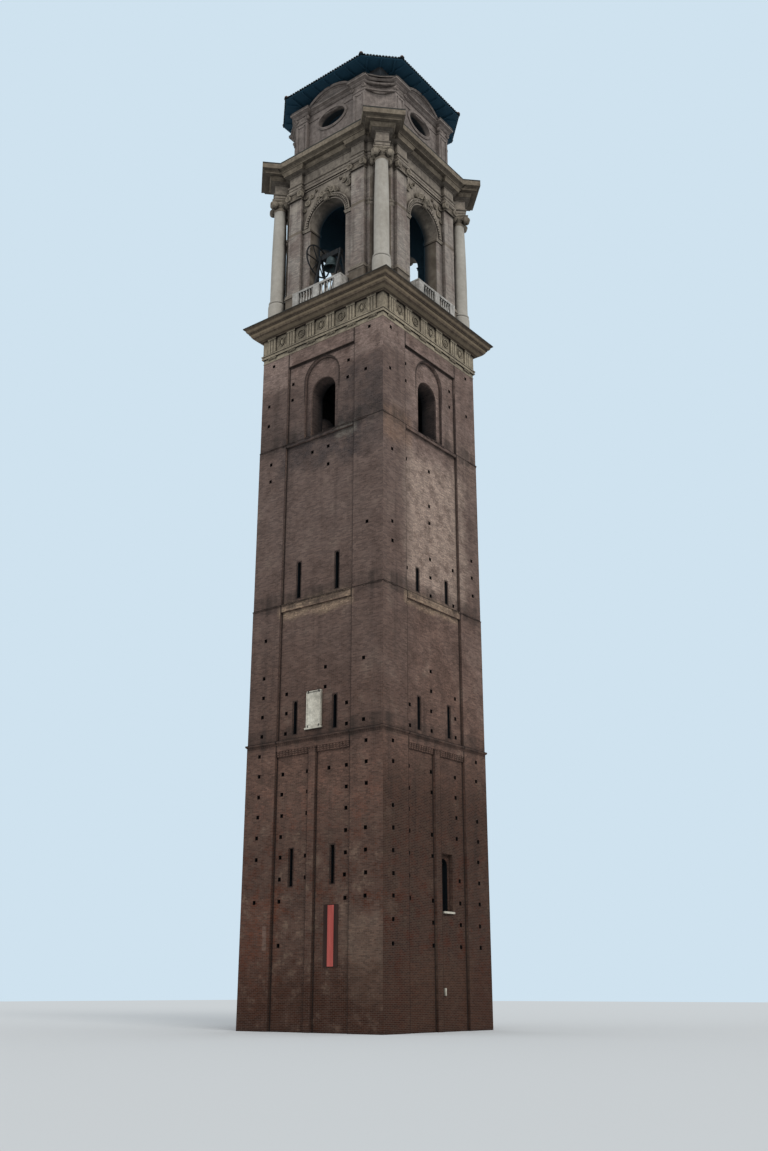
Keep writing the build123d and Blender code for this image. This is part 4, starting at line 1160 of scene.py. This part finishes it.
# Free columns with a swelling shaft and scrolled capitals
COLUMN_PROFILE = [
    (0.3, 0.0), (0.3, 0.06), (0.285, 0.09), (0.285, 0.8), (0.283, 0.84), (0.272, 0.885), (0.25, 0.905),
    (0.262, 0.915), (0.272, 0.93), (0.274, 0.95), (0.268, 0.972), (0.25, 0.985), (0.248, 0.998),
    (0.236, 1.008), (0.233, 1.03), (0.233, 1.6), (0.2325, 2.1), (0.229, 2.6), (0.223, 3.1), (0.214, 3.6),
    (0.205, 4.0), (0.197, 4.39),
]
NECK_PROFILE = [
    (0.19, 4.385), (0.2, 4.42), (0.212, 4.437), (0.218, 4.451), (0.212, 4.465), (0.197, 4.475),
    (0.196, 4.525), (0.208, 4.53), (0.21, 4.545), (0.225, 4.565), (0.255, 4.6), (0.27, 4.63), (0.272, 4.64),
]
VOLUTE_PLACE = 0.23
columns = Shape()
capitals = Shape()
for corner in range(4):
    turn = 45 + 90 * corner
    middle = spot(turn, 0, COLUMN_REACH, 0)
    columns.lathe(middle.x, middle.y, raised(COLUMN_PROFILE, terrace), steps=48)
    capitals.lathe(middle.x, middle.y, raised(NECK_PROFILE, terrace), steps=48)
    for half, low, high in ((0.262, 4.635, 4.7), (0.275, 4.7, 4.736), (0.288, 4.736, 4.76)):
        along, out = (-half, half), (COLUMN_REACH - half, COLUMN_REACH + half)
        capitals.block(turn, along, out, (terrace + low, terrace + high))
    for face_turn, along, out in sides_of(turn, COLUMN_REACH):
        for side in (-1, 1):
            volute(capitals, face_turn, along + side * VOLUTE_PLACE, terrace + 4.57, 0.12, out + 0.275, 0.13)
        span = (along - VOLUTE_PLACE + 0.08, along + VOLUTE_PLACE - 0.08)
        row_of_eggs(capitals, face_turn, span, terrace + 4.6, 0.03, out + 0.25)
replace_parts(columns.piece("columns", COLUMN, slot="column_stone"), "corner_columns")
capitals.piece("column_capitals", CAPITAL, slot="column_stone")

# Balustrades with turned balusters between panelled posts
# Half length, near face and far face of a balustrade
BALUSTRADE = (0.95, 2.505, 2.625)
BALUSTRADE_RISE = 0.635
POST = 0.25
BALUSTERS = 5
BALUSTER_PROFILE = [
    (0.036, 0.0), (0.036, 0.03), (0.026, 0.04), (0.02, 0.06), (0.03, 0.1), (0.041, 0.15), (0.038, 0.19),
    (0.026, 0.25), (0.02, 0.3), (0.018, 0.35), (0.02, 0.375), (0.028, 0.385), (0.02, 0.4), (0.022, 0.42),
    (0.034, 0.44), (0.034, 0.48),
]
balustrade = Shape()
half, near, far = BALUSTRADE
top = terrace + BALUSTRADE_RISE
bay = half - POST - POST / 2
turned = raised(BALUSTER_PROFILE, terrace + 0.08)
for turn in TURNS.values():
    balustrade.block(turn, (-half, half), (near - 0.01, far), (terrace, terrace + 0.08))
    rail = rectangle(turn, (-half, half), (near, far - 0.01))
    moulding(
        balustrade, rail, top - 0.075, [(0.0, 0.0), (0.0, 0.015), (0.01, 0.03), (0.01, 0.065), (0.0, 0.075)]
    )
    balustrade.block(turn, (-half, half), (near + 0.005, far - 0.015), (top - 0.075, top - 0.002))
    for left in (-half, -POST / 2, half - POST):
        balustrade.block(
            turn, (left, left + POST), (near - 0.01, far - 0.004), (terrace + 0.08, top - 0.075)
        )
        balustrade.block(
            turn, (left + 0.04, left + POST - 0.04), (far - 0.01, far), (terrace + 0.13, top - 0.12)
        )
    for left in (-half, half - 0.12):
        balustrade.block(turn, (left, left + 0.12), (BELFRY_HALF, near), (terrace, top - 0.004))
    for side in (-1, 1):
        for index in range(BALUSTERS):
            along = side * (POST / 2 + (index + 0.5) * bay / BALUSTERS)
            place = spot(turn, along, (near + far) / 2, 0)
            balustrade.lathe(place.x, place.y, turned, steps=14)
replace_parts(balustrade.piece("stone_balustrades", BALUSTER, slot="marble"), "balustrades")

# Belfry entablature mouldings; the plan breaks forward over the pilasters and the columns
block_side = (BLOCK_REACH - BLOCK_HALF) / math.sqrt(2), (BLOCK_REACH + BLOCK_HALF) / math.sqrt(2)
chamfer_sum = (CORNER_REACH + ENTABLATURE_FACE - BELFRY_HALF) * math.sqrt(2)
block_root = (chamfer_sum / 2 - BLOCK_HALF / math.sqrt(2), chamfer_sum / 2 + BLOCK_HALF / math.sqrt(2))


def entablature_plan(with_pilasters):
    """Closed plan that breaks forward over the columns, and over the pilasters if wanted."""
    right = [(chamfer_sum - ENTABLATURE_FACE, ENTABLATURE_FACE), block_root, block_side]
    if with_pilasters:
        over = PILASTER_FACE + ENTABLATURE_FACE - BELFRY_HALF
        right = [
            (PILASTER[0], ENTABLATURE_FACE), (PILASTER[0], over), (PILASTER[1], over),
            (PILASTER[1], ENTABLATURE_FACE),
        ] + right
    left = [(-along, out) for along, out in reversed(right)]
    return four_sides(left + right)


entablature = Shape()
broken = entablature_plan(True)
plain = entablature_plan(False)
moulding(
    entablature, broken, belfry_top + 0.09, [(0.013, 0.0), (0.026, 0.006), (0.026, 0.022), (0.013, 0.03)]
)
moulding(
    entablature, broken, belfry_top + 0.195,
    [(0.013, 0.0), (0.03, 0.01), (0.05, 0.028), (0.05, 0.048), (0.002, 0.052)],
)
moulding(
    entablature, broken, cornice_foot - 0.08,
    [(0.0, 0.0), (0.018, 0.01), (0.018, 0.026), (0.045, 0.045), (0.09, 0.066), (0.13, 0.078), (0.13, 0.084)],
)
entablature.piece("entablature_mouldings", STUCCO)
crown = Shape()
moulding(
    crown, broken, cornice_foot + 0.055,
    [(0.148, 0.0), (0.158, 0.012), (0.178, 0.045), (0.195, 0.078), (0.2, 0.09)],
)
moulding(
    crown, plain, cornice_foot + 0.185,
    [
        (0.338, 0.0), (0.352, 0.01), (0.352, 0.03), (0.375, 0.045), (0.41, 0.06), (0.435, 0.072),
        (0.438, 0.08),
    ],
)
crown.piece("belfry_cornice_mouldings", CORNICE)

# Attic: base, capitals and cornice mouldings, sunk panels, oval frames and pediment rims
attic_chord = (ATTIC_FACE - ATTIC_PILASTER[1]) * math.sqrt(2)
attic_radius = (attic_chord**2 / 4 + ATTIC_SAGITTA**2) / (2 * ATTIC_SAGITTA)
attic_middle = (ATTIC_FACE + ATTIC_PILASTER[1]) / 2 + (attic_radius - ATTIC_SAGITTA) / math.sqrt(2)
half_sweep = math.asin(attic_chord / 2 / attic_radius)


def attic_plan():
    """Closed plan of the attic, with its pilasters and concave corners."""
    side = [
        (-ATTIC_PILASTER[1], ATTIC_FACE), (-ATTIC_PILASTER[0], ATTIC_FACE), (-ATTIC_PILASTER[0], ATTIC_WALL),
        (ATTIC_PILASTER[0], ATTIC_WALL), (ATTIC_PILASTER[0], ATTIC_FACE), (ATTIC_PILASTER[1], ATTIC_FACE),
    ]
    steps = 10
    for step in range(1, steps):
        angle = math.radians(225) + half_sweep - 2 * half_sweep * step / steps
        side.append(
            (attic_middle + attic_radius * math.cos(angle), attic_middle + attic_radius * math.sin(angle))
        )
    return four_sides(side)


attic = Shape()
plan = attic_plan()
moulding(attic, plan, attic_foot, [(0.04, 0.0), (0.04, 0.09), (0.02, 0.115), (0.0, 0.13)])
moulding(
    attic, plan, attic_top - 0.3, [(0.0, 0.0), (0.02, 0.01), (0.026, 0.03), (0.014, 0.045), (0.0, 0.05)]
)
moulding(attic, plan, attic_top - 0.04, [(0.0, 0.0), (0.02, 0.01), (0.045, 0.032), (0.05, 0.044)])
moulding(
    attic, plan, attic_top + 0.06,
    [(0.058, 0.0), (0.075, 0.01), (0.11, 0.03), (0.135, 0.042), (0.135, 0.046)],
)
moulding(attic, plan, attic_cornice_top - 0.037, [(0.148, 0.0), (0.162, 0.012), (0.17, 0.03), (0.17, 0.034)])
attic.piece("attic_mouldings", ATTIC_STUCCO)
attic_heads = Shape()
frames = Shape()
rims = Shape()
pediment_radius = (ATTIC_PILASTER[0] ** 2 + PEDIMENT_RISE**2) / (2 * PEDIMENT_RISE)
pediment_start = math.acos(ATTIC_PILASTER[0] / pediment_radius)
FRAME_EDGE = 0.035
FRAME_MARGIN = 0.09
for turn in TURNS.values():
    for side in (-1, 1):
        span = mirrored(side, ATTIC_PILASTER[0], ATTIC_PILASTER[1])
        for end in span:
            volute(attic_heads, turn, end * 0.985, attic_top - 0.13, 0.07, ATTIC_FACE + 0.03)
        row_of_eggs(
            attic_heads, turn, (span[0] + 0.08, span[1] - 0.08), attic_top - 0.13, 0.035, ATTIC_FACE + 0.01
        )
        left, right = span[0] + FRAME_MARGIN, span[1] - FRAME_MARGIN
        low, high = attic_foot + 0.24, attic_top - 0.4
        for along, height in (
            ((left, left + FRAME_EDGE), (low, high)), ((right - FRAME_EDGE, right), (low, high)),
            ((left, right), (low, low + FRAME_EDGE)), ((left, right), (high - FRAME_EDGE, high)),
        ):
            attic_heads.block(turn, along, (ATTIC_FACE - 0.01, ATTIC_FACE + 0.018), height)
    oval = (0.0, attic_foot + OCULUS_RISE)
    ring = [
        (0.0, ATTIC_WALL - 0.02), (0.0, ATTIC_WALL + 0.04), (0.03, ATTIC_WALL + 0.045),
        (0.05, ATTIC_WALL + 0.03), (0.085, ATTIC_WALL + 0.03), (0.09, ATTIC_WALL - 0.02),
    ]
    frames.ring(turn, oval, ring, 48, OCULUS)
    middle = (0.0, attic_cornice_top + PEDIMENT_RISE - pediment_radius)
    for rim in (
        [(-0.045, 2.1), (-0.045, 2.15), (-0.025, 2.166), (-0.006, 2.17), (-0.002, 2.1)],
        [(-0.13, 2.07), (-0.13, 2.1), (-0.115, 2.118), (-0.1, 2.118), (-0.1, 2.07)],
    ):
        rims.arch(
            turn, middle, (pediment_radius, pediment_radius), rim, pediment_start, math.pi - pediment_start,
            30,
        )
attic_heads.piece("attic_capitals", ATTIC_STUCCO)
frames.piece("oculus_frames", ATTIC_STUCCO)
rims.piece("pediment_rims", ATTIC_STUCCO)

# Roof: boarded deck with rafters under it, rows of cover and pan tiles, ridge tiles on the eight hips
DECK_APEX = apex - 0.075
DECK_EDGE = 0.035
DECK_ROOM = ATTIC_ROOM / EAVE_HALF
eave_corner = (2 * EAVE_HALF - EAVE_CHAMFER) / math.sqrt(2)
# Reach and half width of a main side and of a corner side
EAVE_SIDES = ((EAVE_HALF, EAVE_HALF - EAVE_CHAMFER), (eave_corner, EAVE_CHAMFER / math.sqrt(2)))
ROOF_SIDES = [(45 * index, *EAVE_SIDES[index % 2]) for index in range(8)]
deck_outline = [spot(turn, half, reach, 0).xy for turn, reach, half in ROOF_SIDES]
deck = Shape()
rows = [
    [(p.x * scale, p.y * scale, height) for p in deck_outline]
    for scale, height in (
        (DECK_ROOM, eave), (1.0, eave), (1.0, eave + DECK_EDGE), (0.03, DECK_APEX), (0.03, DECK_APEX - 0.05),
        (DECK_ROOM, eave + 0.33),
    )
]
deck.skin(rows, loop=True)
for turn, reach, half in ROOF_SIDES:
    count, inner = (7, UPPER_ATTIC) if reach == EAVE_HALF else (3, CORNER_BACK)
    for index in range(count):
        along = (index - (count - 1) / 2) * 2 * half / count
        deck.block(turn, (along - 0.025, along + 0.025), (inner, reach - 0.05), (eave - 0.045, eave + 0.001))
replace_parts(deck.piece("roof_deck", SHADED_SOFFIT, slot="roof"), "roof")

TILE_PITCH = 0.1
TILE_STEPS = 6
TILE_LIFT = 0.012
TILE_ROW = 0.2
tiles = Shape()
chance = random.Random(5)


def tile(shape, turn, along, out, height, slope, width, length, hollow):
    """Half-round tile on the slope, with its lower end at out and height, curved down when hollow."""
    rise, run = math.sin(slope), math.cos(slope)
    rows = []
    for far in (0.0, 1.0):
        radius = width * (0.86 + 0.14 * far if hollow else 1.0 - 0.14 * far)
        lift = TILE_LIFT * (1.0 - far)
        base_out = out - run * length * far + rise * lift
        base_height = height + rise * length * far + run * lift
        row = []
        for step in range(TILE_STEPS + 1):
            angle = math.pi * step / TILE_STEPS
            bow = radius * 0.62 * math.sin(angle) * (-0.45 if hollow else 1.0)
            side = along - radius * math.cos(angle)
            row.append(spot(turn, side, base_out + rise * bow, base_height + run * bow))
        rows.append(row)
    shape.skin(rows, ring=False, smooth=True)
    if not hollow:
        shape.add(rows[0], [range(TILE_STEPS + 1)])


def roof_slope(reach):
    """Angle and length of the slope from a place on the eaves up to the apex."""
    rise = DECK_APEX - eave - DECK_EDGE
    slope = math.atan2(rise, reach)
    return slope, rise / math.sin(slope)


for turn, reach, half in ROOF_SIDES:
    slope, slant = roof_slope(reach)
    count = int(2 * half / TILE_PITCH)
    for index in range(count + 1):
        for hollow in (False, True):
            along = (index - count / 2 + (0.5 if hollow else 0.0)) * TILE_PITCH
            if abs(along) > half - 0.01:
                continue
            length = slant * (1 - abs(along) / half) - 0.02
            start = 0.0
            while start < length:
                size = min(TILE_ROW + 0.04, length - start + 0.03)
                wobble = chance.uniform(-0.004, 0.004)
                out = reach + 0.03 - math.cos(slope) * start
                height = eave + 0.04 + math.sin(slope) * (start - 0.03) + (0.002 if hollow else 0.012)
                tile(tiles, turn, along + wobble, out, height, slope, 0.042, size, hollow)
                start += TILE_ROW
tiles.piece("roof_tiles", TILES, slot="roof")

KNOB_PROFILE = [(0.03, 0.05), (0.06, 0.08), (0.07, 0.115), (0.055, 0.15), (0.02, 0.165)]
PEAK_PROFILE = [(0.14, -0.075), (0.13, -0.04), (0.08, -0.015), (0.02, -0.002)]
hips = Shape()
for corner in deck_outline:
    reach = corner.length
    turn = math.degrees(math.atan2(corner.x, -corner.y))
    slope, slant = roof_slope(reach)
    start = 0.0
    while start < slant - 0.1:
        out = reach + 0.04 - math.cos(slope) * start
        height = eave + 0.06 + math.sin(slope) * (start - 0.03)
        tile(hips, turn, 0.0, out, height, slope, 0.07, 0.28, False)
        start += 0.24
    knob = spot(turn, 0.0, reach - 0.01, 0)
    hips.lathe(knob.x, knob.y, raised(KNOB_PROFILE, eave), steps=10)
hips.lathe(0, 0, raised(PEAK_PROFILE, apex), steps=16)
hips.piece("hip_tiles", TILES, slot="roof")

# Bell with its mouldings, and the straps on its headstock
bell_low, bell_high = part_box("bell")
bell_x = (bell_low.x + bell_high.x) / 2
bell_y = (bell_low.y + bell_high.y) / 2
mouth = bell_low.z
BELL_PROFILE = [
    (0.0005, 0.328), (0.05, 0.328), (0.1, 0.322), (0.119, 0.3), (0.126, 0.25), (0.136, 0.19), (0.152, 0.12),
    (0.178, 0.06), (0.205, 0.02), (0.218, 0.0), (0.246, 0.0), (0.25, 0.006), (0.248, 0.02), (0.236, 0.04),
    (0.224, 0.058), (0.227, 0.062), (0.222, 0.07), (0.205, 0.088), (0.19, 0.112), (0.176, 0.14),
    (0.166, 0.17), (0.168, 0.175), (0.164, 0.182), (0.156, 0.22), (0.149, 0.27), (0.147, 0.275),
    (0.149, 0.281), (0.144, 0.288), (0.14, 0.315), (0.134, 0.336), (0.12, 0.352), (0.1, 0.366),
    (0.085, 0.38), (0.082, 0.4), (0.0005, 0.4),
]
STRAPS = (-0.26, -0.09, 0.09, 0.26)
bell = Shape()
bell.lathe(bell_x, bell_y, raised(BELL_PROFILE, mouth), steps=56)
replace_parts(bell.piece("bell_casting", BRONZE, "bell", "bronze", merge=True), "bell")
straps = Shape()
stock_low, stock_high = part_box("bell_headstock")
axis_height = (stock_low.z + stock_high.z) / 2
strap_heights = (axis_height - 0.091, axis_height + 0.091)
for along in STRAPS:
    middle = bell_x + along
    straps.block(0, (middle - 0.02, middle + 0.02), (-bell_y - 0.071, -bell_y + 0.071), strap_heights)
straps.piece("headstock_straps", IRON, "bell", "iron", bevel=0.002)

# Marble plaque: raised border and iron clamps round a bare field
plaque_low, plaque_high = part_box("marble_plaque")
plaque_face = -plaque_low.y
plaque = Shape()
PLAQUE_EDGE = 0.035
left, right, foot, top = plaque_low.x, plaque_high.x, plaque_low.z, plaque_high.z
for along, height in (
    ((left, right), (foot, foot + PLAQUE_EDGE)),
    ((left, right), (top - PLAQUE_EDGE, top)),
    ((left, left + PLAQUE_EDGE), (foot + PLAQUE_EDGE, top - PLAQUE_EDGE)),
    ((right - PLAQUE_EDGE, right), (foot + PLAQUE_EDGE, top - PLAQUE_EDGE)),
):
    plaque.block(0, along, (plaque_face - 0.01, plaque_face + 0.014), height)
plaque.block(0, (left - 0.05, right + 0.02), (plaque_face - 0.04, plaque_face + 0.02), (foot - 0.05, foot))
plaque.piece("plaque_border", MARBLE, slot="marble", bevel=0.004)
clamps = Shape()
for along in (left + 0.07, right - 0.07):
    for height in (foot + 0.02, top - 0.02):
        span = (along - 0.012, along + 0.012)
        clamps.block(0, span, (plaque_face - 0.01, plaque_face + 0.022), (height - 0.035, height + 0.035))
clamps.piece("plaque_clamps", IRON, slot="iron", bevel=0.002)

# Banner cloth stretched over its dark board, and a small box on the right wall
CLOTH = clothwork("banner_red", linear(178, 92, 84), linear(160, 78, 72))
banner_low, banner_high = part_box("banner")
banner_face = -banner_low.y
cloth_width = 0.2
cloth_left = (banner_low.x + banner_high.x) / 2 - cloth_width / 2
CLOTH_COLUMNS = 12
CLOTH_ROWS = 40
cloth = Shape()
cloth_rows = []
for row in range(CLOTH_ROWS + 1):
    height = banner_low.z + 0.015 + (banner_high.z - banner_low.z - 0.03) * row / CLOTH_ROWS
    line = []
    for column in range(CLOTH_COLUMNS + 1):
        share = column / CLOTH_COLUMNS
        wave = 0.002 * math.sin(9 * share + 0.35 * row) * math.sin(math.pi * share)
        line.append(spot(0, cloth_left + cloth_width * share, banner_face + 0.004 + wave, height))
    cloth_rows.append(line)
cloth.skin(cloth_rows, ring=False, smooth=True)
banner_cloth = cloth.piece("banner_strip", CLOTH, slot="banner_cloth", merge=True)
fitting = Shape()
right_face = wall_half[0] - PANEL_DEPTH
fitting.block(90, (0.215, 0.28), (right_face - 0.01, right_face + 0.05), (0.84, 1.02))
fitting.block(90, (0.222, 0.273), (right_face + 0.05, right_face + 0.056), (0.85, 1.01))
fitting.piece("wall_fitting", MARBLE, slot="marble", bevel=0.004)

# Floor, backdrop and light
GROUND = linear(205, 208, 210)
STAGE_HALF = 90.0
floor_mesh = bpy.data.meshes.new("floor")
floor_mesh.from_pydata(
    [(x * STAGE_HALF, y * STAGE_HALF, 0) for x, y in ((-1, -1), (1, -1), (1, 1), (-1, 1))], [],
    [(0, 1, 2, 3)],
)
floor_finish = Finish("floor_finish", rough=0.95, specular=0.0)
floor_finish.feed(floor_finish.shader["Base Color"], GROUND)
floor_mesh.materials.append(floor_finish.material)
floor = add_object("floor", floor_mesh)

SKY = linear(207, 226, 239)
SKY_LIGHT = (0.93, 0.97, 1.0, 1.0)
SKY_STRENGTH = 0.8
world = bpy.data.worlds.new("world")
bpy.context.scene.world = world
world.use_nodes = True
world_nodes = world.node_tree.nodes
world_links = world.node_tree.links
light_sky = world_nodes["Background"]
light_sky.inputs["Color"].default_value = SKY_LIGHT
light_sky.inputs["Strength"].default_value = SKY_STRENGTH
seen_sky = world_nodes.new("ShaderNodeBackground")
seen_sky.inputs["Color"].default_value = SKY
path = world_nodes.new("ShaderNodeLightPath")
chooser = world_nodes.new("ShaderNodeMixShader")
world_links.new(path.outputs["Is Camera Ray"], chooser.inputs[0])
world_links.new(light_sky.outputs[0], chooser.inputs[1])
world_links.new(seen_sky.outputs[0], chooser.inputs[2])
world_links.new(chooser.outputs[0], world_nodes["World Output"].inputs["Surface"])

SUN_DIRECTION = Vector((-0.75, 0.45, -0.75))
SUN_SPREAD = math.radians(25)
sun_data = bpy.data.lights.new("sun", "SUN")
sun_data.energy = 1.1
sun_data.angle = SUN_SPREAD
sun_data.color = (1.0, 0.97, 0.92)
sun = add_object("sun", sun_data)
sun.rotation_euler = SUN_DIRECTION.to_track_quat("-Z", "Y").to_euler()

bpy.context.scene.view_settings.view_transform = "Standard"
